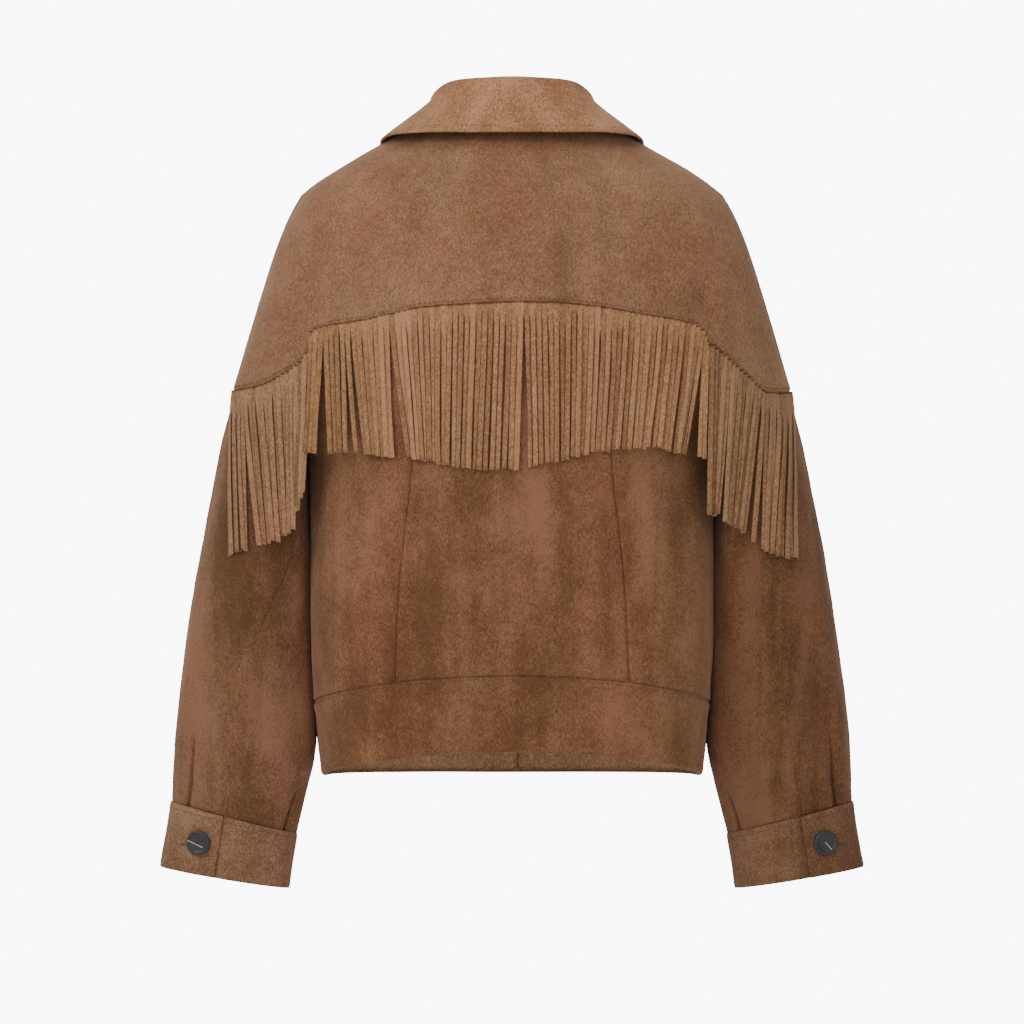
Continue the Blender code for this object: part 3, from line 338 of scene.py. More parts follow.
# The one line of thread that shows on a button: its two ends, across and up, as shares of the radius
SewnLine = namedtuple("SewnLine", "start end")
FRONT_SEWN_LINE = SewnLine((-0.30, 0.06), (0.30, -0.06))
SEWN_LINES = {
    "button_cuff_left": SewnLine((-0.86, 0.20), (0.40, -0.36)),
    "button_cuff_right": SewnLine((-0.05, 0.05), (0.46, -0.52)),
}

# The studio: its lights, what they look at, the camera, the floor, the light from all round, and how bright
# the ground looks to the camera
Light = namedtuple("Light", "name place size power")
LIGHTS = table(
    Light,
    ("Key light", (2.3, 2.6, 1.9), 1.6, 68),
    ("Back light", (0.2, 3.6, 0.2), 1.2, 14),
    ("Fill light", (-2.2, 3.0, 0.2), 2.6, 20),
    ("Top light", (0.3, 0.5, 2.3), 2.0, 30),
    ("Front light", (0.6, -3.2, 1.6), 2.4, 50),
)
LIT_POINT = (0.0, 0.0, -0.35)
CAMERA_PLACE = (0.0, 4.0, -0.337)
CAMERA_LENS = 156.25
FLOOR_REACH = 6.0
FLOOR_HEIGHT = -0.80
FLOOR_SIDES = 64
AMBIENT = 0.40
PALE_GROUND = 10.3

# The outer faces of the finished cloth, by node, for the fringe and the sewing that lie on them
OUTER_FACES = {}


def size(name, description, default, low, high):
    """A size in the sidebar, in metres."""
    return bpy.props.FloatProperty(
        name=name, description=description, default=default, min=low, max=high, subtype="DISTANCE"
    )


def colour_value(name, description, default):
    """A colour in the sidebar."""
    return bpy.props.FloatVectorProperty(
        name=name, description=description, default=default, size=3, min=0, max=1, subtype="COLOR"
    )


class JacketSizes(bpy.types.PropertyGroup):
    """Sizes of what is sewn and shaped on the solids."""

    cloth: size("Suede thickness", "Wall of the panels", 0.0015, 0.0008, 0.003)
    stitch_pitch: size("Stitch pitch", "From one stitch to the next", 0.0042, 0.002, 0.01)
    stitch_length: size("Stitch length", "Thread that shows in a stitch", 0.0031, 0.001, 0.008)
    thread: size("Thread thickness", "Diameter of the thread", 0.0008, 0.0002, 0.002)
    softness: size("Softness", "Height of the small waves all over the cloth", 0.0010, 0.0, 0.004)
    fold_strength: bpy.props.FloatProperty(
        name="Fold strength", description="How deep the placed folds are", default=1.0, min=0.0, max=2.0
    )
    fringe_curl: size("Fringe curl", "How far the strands wander near their ends", 0.0016, 0.0, 0.006)


class JacketColours(bpy.types.PropertyGroup):
    """Colours of the finishes."""

    suede: colour_value("Suede", "Main colour of the suede", (0.235, 0.118, 0.058))
    suede_dark: colour_value("Dark nap", "Where the nap lies away", (0.150, 0.068, 0.031))
    suede_pale: colour_value("Pale nap", "Where the nap is rubbed pale", (0.330, 0.185, 0.104))
    button: colour_value("Button", "Colour of the buttons", (0.018, 0.018, 0.020))
    thread: colour_value("Thread", "Colour of the topstitching", (0.120, 0.058, 0.028))
    backdrop: colour_value("Backdrop", "Colour of the floor", (0.93, 0.93, 0.93))


def settings():
    """The sizes and the colours as they are set in the scene."""
    return bpy.context.scene.jacket_sizes, bpy.context.scene.jacket_colours


# Shader parts


def node_group(name, kind, entries, results):
    """An empty node group with its sockets by name and kind, as tree, incoming sockets and result node."""
    tree = bpy.data.node_groups.new(name, kind)
    for way, sockets in (("INPUT", entries), ("OUTPUT", results)):
        for label, sort in sockets.items():
            tree.interface.new_socket(name=label, in_out=way, socket_type="NodeSocket" + sort)
    return tree, tree.nodes.new("NodeGroupInput").outputs, tree.nodes.new("NodeGroupOutput")


def feed(tree, node, values):
    """Sets a node's properties and inputs by name or number; a socket given as a value is linked."""
    for key, value in values.items():
        if isinstance(key, str) and hasattr(node, key):
            setattr(node, key, value)
            continue
        entry = node.inputs[key.replace("_", " ") if isinstance(key, str) else key]
        if isinstance(value, bpy.types.NodeSocket):
            tree.links.new(value, entry)
        else:
            entry.default_value = value


def add(tree, kind, **values):
    """A node in a tree, with its properties and inputs by name."""
    node = tree.nodes.new(kind)
    feed(tree, node, values)
    return node


def maths(tree, operation, first, second):
    """The result of one sum: each side is a socket or a number."""
    node = add(tree, "ShaderNodeMath", operation=operation)
    feed(tree, node, {0: first, 1: second})
    return node.outputs[0]


def ramp(tree, source, low, high):
    """The source spread from low..high to 0..1, and kept inside it."""
    node = add(tree, "ShaderNodeMapRange", Value=source, clamp=True, From_Min=low, From_Max=high)
    return node.outputs["Result"]


def blend_colour(tree, share, first, second, way="MIX"):
    """Two colours mixed by share, or multiplied: each is a socket or a plain value."""
    node = add(tree, "ShaderNodeMix", data_type="RGBA", blend_type=way)
    feed(tree, node, {0: share, 6: first, 7: second})
    return node.outputs[2]


def object_place(tree):
    """Where a point lies in its own object, so that a finish rides with its piece."""
    return add(tree, "ShaderNodeTexCoord").outputs["Object"]


def bumped(tree, height, strength, distance):
    """The normal that a height gives the surface."""
    node = add(tree, "ShaderNodeBump", Height=height, Strength=strength, Distance=distance)
    return node.outputs["Normal"]


def nap_group():
    """Suede nap: cloudy patches, brushed streaks, small grain and a height for the bump."""
    entries = {name: "Color" for name in ("Dark", "Main", "Pale", "Warm tint", "Olive tint")}
    entries.update({"Cloudiness": "Float", "Streaks": "Float"})
    results = {"Colour": "Color", "Height": "Float", "Roughness": "Float"}
    tree, asked, result = node_group("Suede nap", "ShaderNodeTree", entries, results)
    place = object_place(tree)

    def grain(scale, detail, rough=0.5, stretch=None, lean=0.0):
        where = place
        if stretch:
            spread, turn = (1.0, 1.0, stretch), (0.0, lean, 0.0)
            moved = add(tree, "ShaderNodeMapping", Vector=place, Scale=spread, Rotation=turn)
            where = moved.outputs["Vector"]
        node = add(tree, "ShaderNodeTexNoise", Vector=where, Scale=scale, Detail=detail, Roughness=rough)
        return node.outputs["Fac"]

    def plus(first, second):
        return maths(tree, "ADD", first, second)

    def times(first, second):
        return maths(tree, "MULTIPLY", first, second)

    def swing(source, weight):
        return times(maths(tree, "SUBTRACT", source, 0.5), weight)

    clouds = grain(7.0, 3.0, 0.6)
    patches = grain(34.0, 4.0, 0.62)
    streaks = grain(24.0, 3.0, 0.6, 0.16, 0.10)
    mottle = grain(150.0, 3.0, 0.6)
    fibres = grain(620.0, 3.0, 0.7, 0.6, 0.5)
    pile = grain(1150.0, 2.0, 0.6)

    swept = swing(streaks, asked["Streaks"])
    tone = times(plus(swing(clouds, 0.9), swing(patches, 0.75)), asked["Cloudiness"])
    tone = plus(tone, times(swept, 1.5))
    for source, weight in ((mottle, 0.75), (fibres, 3.0), (pile, 2.9)):
        tone = plus(tone, swing(source, weight))
    colour = blend_colour(tree, ramp(tree, tone, 0.0, -0.62), asked["Main"], asked["Dark"])
    colour = blend_colour(tree, ramp(tree, tone, 0.0, 0.62), colour, asked["Pale"])
    hue = plus(grain(17.0, 2.0, 0.5, 0.22), times(swept, 0.5))
    tint = blend_colour(tree, ramp(tree, hue, 0.36, 0.64), asked["Olive tint"], asked["Warm tint"])
    values = {
        "Colour": blend_colour(tree, 1.0, colour, tint, "MULTIPLY"),
        "Height": plus(plus(times(pile, 0.45), times(fibres, 0.55)), times(mottle, 0.5)),
        "Roughness": plus(times(patches, 0.12), 0.82),
    }
    feed(tree, result, values)
    return tree


def shaded(name):
    """A new material, its node tree and its shader."""
    made = bpy.data.materials.new(name)
    made.use_nodes = True
    return made, made.node_tree, made.node_tree.nodes["Principled BSDF"]


def tinted(colour, factor):
    """A colour made lighter or darker by one factor, or by one each for red, green and blue."""
    factors = factor if isinstance(factor, tuple) else (factor,) * 3
    return (*(min(1.0, c * f) for c, f in zip(colour, factors)), 1.0)


def towards(tint, share):
    """A tint's pull on a colour, weakened or strengthened by share."""
    return (*(1 + share * (c - 1) for c in tint), 1.0)


def suede_material(appearance, edge=False):
    """Matt suede with the shared nap, made lighter or darker by the part's tone of painted light and shade;
    edge adds a strand's own tone and the painted shade in the gaps at its cut sides, under the yoke and at
    its tip.
    """
    _, base = settings()
    made, tree, shader = shaded(appearance.name)
    # The part's tone paints light and shade onto the suede's dark, main and pale colours
    dark, main, pale = (tinted(c, appearance.tone) for c in (base.suede_dark, base.suede, base.suede_pale))
    nap = add(tree, "ShaderNodeGroup", node_tree=bpy.data.node_groups.get("Suede nap") or nap_group())
    values = {
        "Dark": dark,
        "Main": main,
        "Pale": pale,
        "Warm tint": towards(WARM_TINT, appearance.hue),
        "Olive tint": towards(OLIVE_TINT, appearance.hue),
        "Cloudiness": appearance.cloudiness,
        "Streaks": appearance.streaks,
    }
    feed(tree, nap, values)
    colour = nap.outputs["Colour"]
    if edge:
        # A strand's own tone, less its painted shade at the cut sides, under the yoke and at the tip, turns
        # it dark or pale
        strand = add(tree, "ShaderNodeAttribute", attribute_name="strand_tone_and_shade").outputs["Fac"]
        colour = blend_colour(tree, ramp(tree, strand, 0.45, -0.55), colour, tinted(dark[:3], 0.28))
        colour = blend_colour(tree, ramp(tree, strand, 0.5, 1.3), colour, pale)
    values = {
        "Base Color": colour,
        "Roughness": nap.outputs["Roughness"],
        "Normal": bumped(tree, nap.outputs["Height"], 0.42, 0.0009),
        "Specular IOR Level": 0.12,
        "Sheen Weight": 0.22,
        "Sheen Roughness": 0.55,
        "Sheen Tint": (0.78, 0.56, 0.42, 1),
    }
    feed(tree, shader, values)
    return made


def suede_of(appearance):
    """The material for a part's suede with its tone of painted light and shade, made once."""
    return bpy.data.materials.get(appearance.name) or suede_material(appearance)


def button_material(colours):
    """Dark matt-polished button with a slight mottle."""
    made, tree, shader = shaded("Button charcoal")
    place = object_place(tree)
    mottle = add(tree, "ShaderNodeTexNoise", Vector=place, Scale=420.0, Detail=3.0).outputs["Fac"]
    deep, worn = tinted(colours.button, (0.80, 0.72, 0.68)), tinted(colours.button, (2.1, 1.9, 1.75))
    values = {
        "Base Color": blend_colour(tree, ramp(tree, mottle, 0.35, 0.75), deep, worn),
        "Roughness": ramp(tree, mottle, -0.9, 1.9),
        "Normal": bumped(tree, mottle, 0.15, 0.0003),
    }
    feed(tree, shader, values)
    return made


def thread_material(name, colour):
    """Twisted thread: fine slanting bands."""
    made, tree, shader = shaded(name)
    place = object_place(tree)
    wave = add(tree, "ShaderNodeTexWave", Vector=place, Scale=900.0, Distortion=1.5).outputs["Fac"]
    values = {
        "Base Color": blend_colour(tree, wave, tinted(colour, 0.75), tinted(colour, 1.25)),
        "Normal": bumped(tree, wave, 0.4, 0.0002),
        "Roughness": 0.7,
    }
    feed(tree, shader, values)
    return made


# Cloth


def merged(node):
    """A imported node's mesh with its loose triangles joined up, and back in four-sided faces."""
    bm = bmesh.new()
    bm.from_mesh(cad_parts[node].data)
    bmesh.ops.remove_doubles(bm, verts=bm.verts, dist=1e-6)
    bmesh.ops.join_triangles(
        bm, faces=bm.faces[:], angle_face_threshold=JOINED_FLAT, angle_shape_threshold=JOINED_SQUARE
    )
    bm.normal_update()
    return bm


def smooth_regions(bm):
    """The faces in groups that meet one another at less than the sharp angle."""
    left = set(bm.faces)
    while left:
        region, fresh = set(), [left.pop()]
        while fresh:
            face = fresh.pop()
            region.add(face)
            for edge in face.edges:
                if len(edge.link_faces) == 2 and edge.calc_face_angle(math.pi) < SHARP:
                    near = left.intersection(edge.link_faces)
                    left -= near
                    fresh.extend(near)
        yield region


def outer_sheet(piece):
    """The outer face of a packed cloth wall, as an open sheet."""
    bm = merged(piece.node)
    middle = Vector(piece.hollow)

    def outwardness(region):
        ways = ((face, (face.calc_center_median() - middle).normalized()) for face in region)
        return sum(face.calc_area() * face.normal.dot(way) for face, way in ways)

    best = max(smooth_regions(bm), key=outwardness)
    bmesh.ops.delete(bm, geom=[f for f in bm.faces if f not in best], context="FACES")
    return bm


def placed(name, data):
    """A new object in the scene."""
    made = bpy.data.objects.new(name, data)
    bpy.context.scene.collection.objects.link(made)
    return made


def finished(bm, name):
    """A new object in the scene from a mesh that is done."""
    mesh = bpy.data.meshes.new(name)
    bm.to_mesh(mesh)
    bm.free()
    return placed(name, mesh)


def evaluated(piece):
    """A plain mesh of a piece with its modifiers."""
    return bpy.data.meshes.new_from_object(piece.evaluated_get(bpy.context.evaluated_depsgraph_get()))


def settle(piece):
    """Turns a piece and its modifiers into a plain mesh."""
    shape = evaluated(piece)
    piece.modifiers.clear()
    old = piece.data
    piece.data = shape
    bpy.data.meshes.remove(old)
    return piece


def smoothed(piece, levels, corners="ALL"):
    """Rounds a piece by subdivision; what is marked as a corner or crease stays."""
    smoother = piece.modifiers.new("Smooth", "SUBSURF")
    smoother.levels = smoother.render_levels = levels
    smoother.boundary_smooth = corners
    return settle(piece)


def thickened(piece, thickness, inner_material=0):
    """Gives a sheet its thickness, inwards."""
    wall = piece.modifiers.new("Wall", "SOLIDIFY")
    wall.thickness = thickness
    wall.offset = -1
    wall.material_offset = inner_material
    return settle(piece)


def column(rows, key, width=3):
    """One number or vector of every row of mesh data, as an array."""
    flat = np.empty(len(rows) * width)
    rows.foreach_get(key, flat)
    return flat.reshape(-1, width) if width > 1 else flat


def move_points(mesh, points):
    """Puts a mesh's vertices at these points."""
    mesh.vertices.foreach_set("co", points.ravel())
    mesh.update()


def sheet_faces(mesh):
    """A mesh's points and faces as plain lists."""
    return [v.co.copy() for v in mesh.vertices], [list(p.vertices) for p in mesh.polygons]


def joined_cloth(nodes):
    """The outer faces of several finished cloths, to find the nearest point on."""
    points, faces = [], []
    for node in nodes:
        start = len(points)
        node_points, node_faces = OUTER_FACES[node]
        points.extend(node_points)
        faces.extend([start + k for k in face] for face in node_faces)
    return BVHTree.FromPolygons(points, faces)


def middle_of(edge):
    """The middle of an edge."""
    return (edge.verts[0].co + edge.verts[1].co) / 2


def way_out(edge):
    """The way out of an open sheet across one edge of its border, in the sheet's own plane."""
    face = edge.link_faces[0]
    out = (edge.verts[1].co - edge.verts[0].co).normalized().cross(face.normal)
    return -out if out.dot(middle_of(edge) - face.calc_center_median()) < 0 else out


def fold_depth(points):
    """How deep the placed folds are at each point, fading in and out along their length."""
    deep = np.zeros(len(points))
    for facing, folds in ((points[:, 1] > 0, BACK_FOLDS), (points[:, 1] < 0, FRONT_FOLDS)):
        for fold in folds:
            start = np.array([fold.x, fold.z])
            run = np.array([fold.end_x, fold.end_z]) - start
            along = np.clip(((points[:, [0, 2]] - start) @ run) / (run @ run), -0.3, 1.3)
            off = np.linalg.norm(points[:, [0, 2]] - start - along[:, None] * run, axis=1)
            wander = 1 + 0.35 * np.sin(along * 7.0 + fold.x * 90)
            fade = np.clip(1 - np.abs(along - 0.55) / 0.62, 0, 1) ** 0.8
            trough = bell(off, 0, fold.spread) - 0.35 * bell(off, 1.9 * fold.spread, fold.spread)
            deep += np.where(facing, fold.depth * fade * wander * trough, 0)
    return deep


def bell(at, middle, spread):
    """One at the middle and fading to nothing on both sides of it."""
    return np.exp(-(((at - middle) / spread) ** 2))


def fade_in(at, start, reach):
    """Nought up to the start and one from its reach on; a negative reach runs the other way."""
    return np.clip((at - start) / reach, 0, 1)


def mark_pleats(bm):
    """Marks the points along the lines of the cuff pleats, which are sharp valleys in a sleeve's solids."""
    mark = bm.verts.layers.float.new("pleat")
    crease = bm.edges.layers.float.new("crease_edge")
    for edge in bm.edges:
        if len(edge.link_faces) == 2 and middle_of(edge).z < PLEAT_TOP:
            first, second = edge.link_faces
            run = (edge.verts[0].co - edge.verts[1].co).normalized()
            across = second.calc_center_median() - first.calc_center_median()
            turn = edge.calc_face_angle(0)
            if abs(run.z) > 0.8 and across.dot(first.normal) > 0 and turn > PLEAT_TURN:
                edge[crease] = 1.0
                for vert in edge.verts:
                    vert[mark] = max(vert[mark], min(1.0, turn / PLEAT_FULL_TURN))


def pleat_depth(mesh):
    """How deep each point lies in the pressed line of a pleat."""
    if "pleat" not in mesh.attributes:
        return 0.0
    mark = column(mesh.attributes["pleat"].data, "value", 1)
    return PLEAT_DEPTH * np.clip((mark - 1 + PLEAT_WIDTH) / PLEAT_WIDTH, 0, 1)


def waviness(points, scale, seed):
    """Slow waves for each point, from -1 to 1."""
    shift = Vector((seed, seed * 0.37, -seed))
    stretch = Vector((1.0, 1.0, 0.55)) * scale
    return np.array([noise.noise(Vector(p) * stretch + shift) for p in points])


def soften(piece, sizes, sewn):
    """Lays the folds, the small waves and the seams' rolled edges into a sheet, moved straight in or out."""
    mesh = piece.data
    points, normals = column(mesh.vertices, "co"), column(mesh.vertices, "normal")
    border = border_distance(mesh)
    calm = np.clip(border / CALM_BORDER, 0.25, 1)
    waves = sum(each.strength * waviness(points, each.scale, each.seed) for each in SMALL_WAVES)
    folds = np.clip(border / FOLD_BORDER, 0.35, 1) * fold_depth(points)
    move = sizes.softness * calm * waves - sizes.fold_strength * folds
    rolled = sewn.roll * bell(border, 0, ROLL_SPREAD) - sewn.swell * bell(border, SWELL_PLACE, SWELL_SPREAD)
    points = points + normals * (move - pleat_depth(mesh) - rolled)[:, None]
    side = np.sign(points[:, 0])
    level = fade_in(points[:, 2], NESTLE_TOP, -NESTLE_FADE) * fade_in(points[:, 2], NESTLE_FOOT, NESTLE_FADE)
    inward = fade_in(-normals[:, 0] * side, 0.3, 0.5)
    points[:, 0] -= np.where(piece.name.startswith("sleeve"), side * NESTLE * level * inward, 0)
    points[:, 2] += seam_lift(points)
    move_points(mesh, points)


def border_distance(mesh):
    """How far each vertex of an open sheet lies from its border."""
    bm = bmesh.new()
    bm.from_mesh(mesh)
    edge_points = [v.co.copy() for v in bm.verts if v.is_boundary]
    bm.free()
    from_tree = KDTree(len(edge_points))
    for i, point in enumerate(edge_points):
        from_tree.insert(point, i)
    from_tree.balance()
    return np.array([from_tree.find(v.co)[2] for v in mesh.vertices])


def ring_border(mesh):
    """Cuts narrow rings of faces along the border of an open sheet, so that a seam has a crisp edge."""
    bm = bmesh.new()
    bm.from_mesh(mesh)
    for width in BORDER_RINGS:
        rim = {vert for vert in bm.verts if vert.is_boundary}
        cuts = set()
        for edge in bm.edges[:]:
            ends = [vert for vert in edge.verts if vert in rim]
            if len(ends) == 1:
                cuts.add(bmesh.utils.edge_split(edge, ends[0], min(0.45, width / edge.calc_length()))[1])
        for face in bm.faces[:]:
            pair = [vert for vert in face.verts if vert in cuts]
            if len(pair) == 2:
                bmesh.utils.face_split(face, *pair)
    bm.to_mesh(mesh)
    bm.free()


def keep_corners(bm):
    """Marks the sharp corners of an open sheet's border, so that smoothing leaves them."""
    sharp = bm.verts.layers.float.new("crease_vert")
    for vert in bm.verts:
        rim = [edge for edge in vert.link_edges if edge.is_boundary]
        if len(rim) == 2:
            ways = [(edge.other_vert(vert).co - vert.co).normalized() for edge in rim]
            if ways[0].angle(ways[1]) < math.pi - SHARP_CORNER:
                vert[sharp] = 1.0


@cache
def yoke_seam():
    """The back yoke's lower edge on the solids, as its points' x, z and y from right to left."""
    bm = outer_sheet(YOKE_PIECES[0])
    ends = (v.co for v in bm.verts if v.is_boundary and v.co.z < -0.14 and v.co.y > 0)
    rim = sorted((end.x, end.z, end.y) for end in ends)
    bm.free()
    lowest = [min(q[1] for q in rim if abs(q[0] - p[0]) < 0.0035) for p in rim]
    return np.array([p for p, low in zip(rim, lowest) if p[1] < 0.008 + low]).T


def seam_lift(points):
    """How far the cloth of the back moves up at each point, so that the yoke seam lies on its own line."""
    seam_x, seam_z, _ = yoke_seam()
    x, y, z = points[:, 0], points[:, 1], points[:, 2]
    off = z - np.interp(x, seam_x, seam_z)
    fade = bell(off, 0, np.where(off > 0, 0.035, 0.055)) * fade_in(y, 0, 0.02)
    return fade * np.interp(x, [s.x for s in SEAM_LIFTS], [s.lift for s in SEAM_LIFTS])


def grow(bm, distance):
    """Moves the border of an open sheet outwards in its own plane, so that seams close."""
    moves = {}
    for edge in bm.edges:
        if edge.is_boundary:
            out = way_out(edge)
            for vert in edge.verts:
                moves.setdefault(vert, []).append(out)
    for vert, outs in moves.items():
        total = sum(outs, Vector())
        if total.length > 1e-6:
            vert.co += total.normalized() * distance


def cloth_piece(piece, appearance, border, levels=2):
    """A soft thin shell on the form of a packed cloth wall, which it replaces."""
    sizes, _ = settings()
    bm = outer_sheet(piece)
    grow(bm, border.growth)
    keep_corners(bm)
    if piece.node.startswith("sleeve"):
        mark_pleats(bm)
    made = smoothed(finished(bm, piece.node + "_cloth"), levels, "PRESERVE_CORNERS")
    ring_border(made.data)
    soften(made, sizes, border)
    OUTER_FACES[piece.node] = sheet_faces(made.data)
    made.data.materials.append(suede_of(appearance))
    made.data.materials.append(suede_of(INNER_SUEDE))
    dress(thickened(made, sizes.cloth, inner_material=1), piece)


def dress(made, piece=None, replaced=()):
    """Smooths a finished piece, hangs it on the root body and hides the solids that it replaces; it brings
    its material with it.
    """
    made.data.shade_smooth()
    made.data.set_sharp_from_angle(angle=SHARP_FINISH)
    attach(made, "root")
    if piece:
        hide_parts(piece.node)
    elif replaced:
        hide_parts(*replaced)


class JACKET_OT_yoke(bpy.types.Operator):
    """Makes the back yoke and the two front yokes"""

    bl_idname = "jacket.yoke"
    bl_label = "Yoke"

    def execute(self, context):
        for piece in YOKE_PIECES:
            cloth_piece(piece, YOKE_SUEDE, YOKE_BORDER)
        return {"FINISHED"}


class JACKET_OT_body(bpy.types.Operator):
    """Makes the back and front panels and the hem band"""

    bl_idname = "jacket.body"
    bl_label = "Body panels and hem band"

    def execute(self, context):
        for piece in BODY_PIECES:
            cloth_piece(piece, BODY_SUEDE, BODY_BORDER)
        return {"FINISHED"}


class JACKET_OT_sleeves(bpy.types.Operator):
    """Makes the top sleeves and under sleeves"""

    bl_idname = "jacket.sleeves"
    bl_label = "Sleeves"

    def execute(self, context):
        for piece in SLEEVE_PIECES:
            # The right sleeve takes the suede darkened by painted shade, as if turned from the light
            appearance = LEFT_SLEEVE_SUEDE if piece.node.endswith("left") else RIGHT_SLEEVE_SUEDE
            cloth_piece(piece, appearance, SLEEVE_BORDER, levels=3)
        return {"FINISHED"}


class JACKET_OT_cuffs(bpy.types.Operator):
    """Makes the two cuffs"""

    bl_idname = "jacket.cuffs"
    bl_label = "Cuffs"

    def execute(self, context):
        for piece in CUFF_PIECES:
            # The right cuff takes the suede darkened by painted shade, as if turned from the light
            appearance = LEFT_CUFF_SUEDE if piece.node.endswith("left") else RIGHT_CUFF_SUEDE
            cloth_piece(piece, appearance, CUFF_BORDER)
        return {"FINISHED"}


class JACKET_OT_collar(bpy.types.Operator):
    """Makes the folded collar"""

    bl_idname = "jacket.collar"
    bl_label = "Collar"

    def execute(self, context):
        bm = merged(COLLAR_PIECE.node)
        crease = bm.edges.layers.float.new("crease_edge")
        for edge in bm.edges:
            if len(edge.link_faces) == 2 and edge.calc_face_angle(0) > SHARP:
                edge[crease] = 0.75
        made = smoothed(finished(bm, "collar_cloth"), 2)
        points = column(made.data.vertices, "co")
        sway = np.array([noise.noise(Vector((p[0] * 22, p[1] * 22, p[2] * 10))) for p in points])
        points[:, 2] += COLLAR_SWAY * sway * fade_in(points[:, 2], 0.045, -0.04)
        move_points(made.data, points)
        OUTER_FACES["collar"] = sheet_faces(made.data)
        made.data.materials.append(suede_of(COLLAR_SUEDE))
        dress(made, COLLAR_PIECE)
        return {"FINISHED"}


class JACKET_OT_fringe(bpy.types.Operator):
    """Makes the fringe of the back and of the sleeves"""

    bl_idname = "jacket.fringe"
    bl_label = "Fringe"

    def execute(self, context):
        sizes, _ = settings()
        for order, (fringe, appearance) in enumerate(zip(FRINGES, FRINGE_SUEDES)):
            made = hung_fringe(fringe, sizes, random.Random(40 + order))
            made.data.materials.append(suede_material(appearance, edge=True))
            dress(made, replaced=(fringe.node,))
        return {"FINISHED"}


def strip_line(fringe):
    """The line that a fringe's strip hangs from, under the yoke's edge, from first to last strand."""
    seam_x, seam_z, seam_y = yoke_seam()
    at = np.linspace(fringe.first_x, fringe.last_x, 400)
    line = np.stack([at, np.interp(at, seam_x, seam_y), np.interp(at, seam_x, seam_z)], 1)
    line[:, 2] += seam_lift(line) + ROOT_TUCK
    return line, np.concatenate([[0], np.cumsum(np.linalg.norm(np.diff(line, axis=0), axis=1))])


def strand_path(root, goal_x, goal_z, cloth):
    """Points down the middle of a strand and the way its face looks: it lies on the cloth by its gap, hangs
    plumb where the cloth recedes, and drifts across it to where its tip hangs."""
    place = Vector(root)
    loose = root[2] - goal_z - ROOT_STRIP
    middles, faces = [], []
    for r in range(STRAND_ROWS):
        down = ROOT_STRIP * r / 2 if r < 3 else ROOT_STRIP + loose * ((r - 2) / (STRAND_ROWS - 3))
        t = max(0.0, (down - ROOT_STRIP) / loose)
        drop = place.z - (root[2] - down)
        want = root[0] + (goal_x - root[0]) * t**1.15
        normal = faces[-1] if faces else Vector((0, 1, 0))
        side = Vector((-normal.y, normal.x, 0)) * (1 if normal.x >= 0 else -1)
        reach = (want - place.x) / math.copysign(max(abs(side.x), 0.35), side.x or 1)
        place = place + side * max(-0.8 * drop, min(0.8 * drop, reach)) - Vector((0, 0, drop))
        on, facing, _, _ = cloth.find_nearest(place)
        lean = facing.x if facing.x * root[0] > 0 else max(-INWARD_LEAN, min(INWARD_LEAN, facing.x))
        facing = Vector((lean, max(facing.y, math.sqrt(1 - lean * lean)), 0)).normalized()
        clear = (place - on).dot(facing)
        apart = STRAND_GAP * min(1.0, 0.3 + down / 0.012)
        if clear < apart:
            place = place + facing * (apart - clear)
            normal = normal.lerp(facing, 0.6).normalized()
        else:
            normal = normal.lerp(Vector((0, 1, 0)), 0.12).normalized()
        middles.append(place.copy())
        faces.append(normal)
    for _ in range(3):
        around = zip([faces[0], *faces], faces, [*faces[1:], faces[-1]])
        faces = [(a + b * 2 + c).normalized() for a, b, c in around]
        inner = [(a + b * 2 + c) / 4 for a, b, c in zip(middles[2:], middles[3:], middles[4:])]
        middles = [*middles[:3], *inner, middles[-1]]
    return middles, faces


def strip_quads(count, leftwards):
    """The faces of a fringe's strands, which are joined to one another in the uncut strip at the top."""
    wide, stride = len(STRAND_COLUMNS), len(STRAND_COLUMNS) * STRAND_ROWS
    quads = []
    for i in range(count):
        for r in range(STRAND_ROWS - 1):
            for k in range(wide - 1):
                a = i * stride + r * wide + k
                quads.append((a, a + wide, a + wide + 1, a + 1))
            if r < 2 and i < count - 1:
                first, second = (i, i + 1) if leftwards else (i + 1, i)
                a = first * stride + r * wide + wide - 1
                b = second * stride + r * wide
                quads.append((a, a + wide, b + wide, b))
    return quads


def strand_shade(u, row, cut):
    """How much painted shade darkens a strand at one point: in the gaps at its cut sides, in the shadow under
    the yoke's edge and along its tip.
    """
    if abs(u) == 1 and cut:
        return 0.95
    return {0: 1.1, STRAND_ROWS - 1: 0.25}.get(row, 0.0)


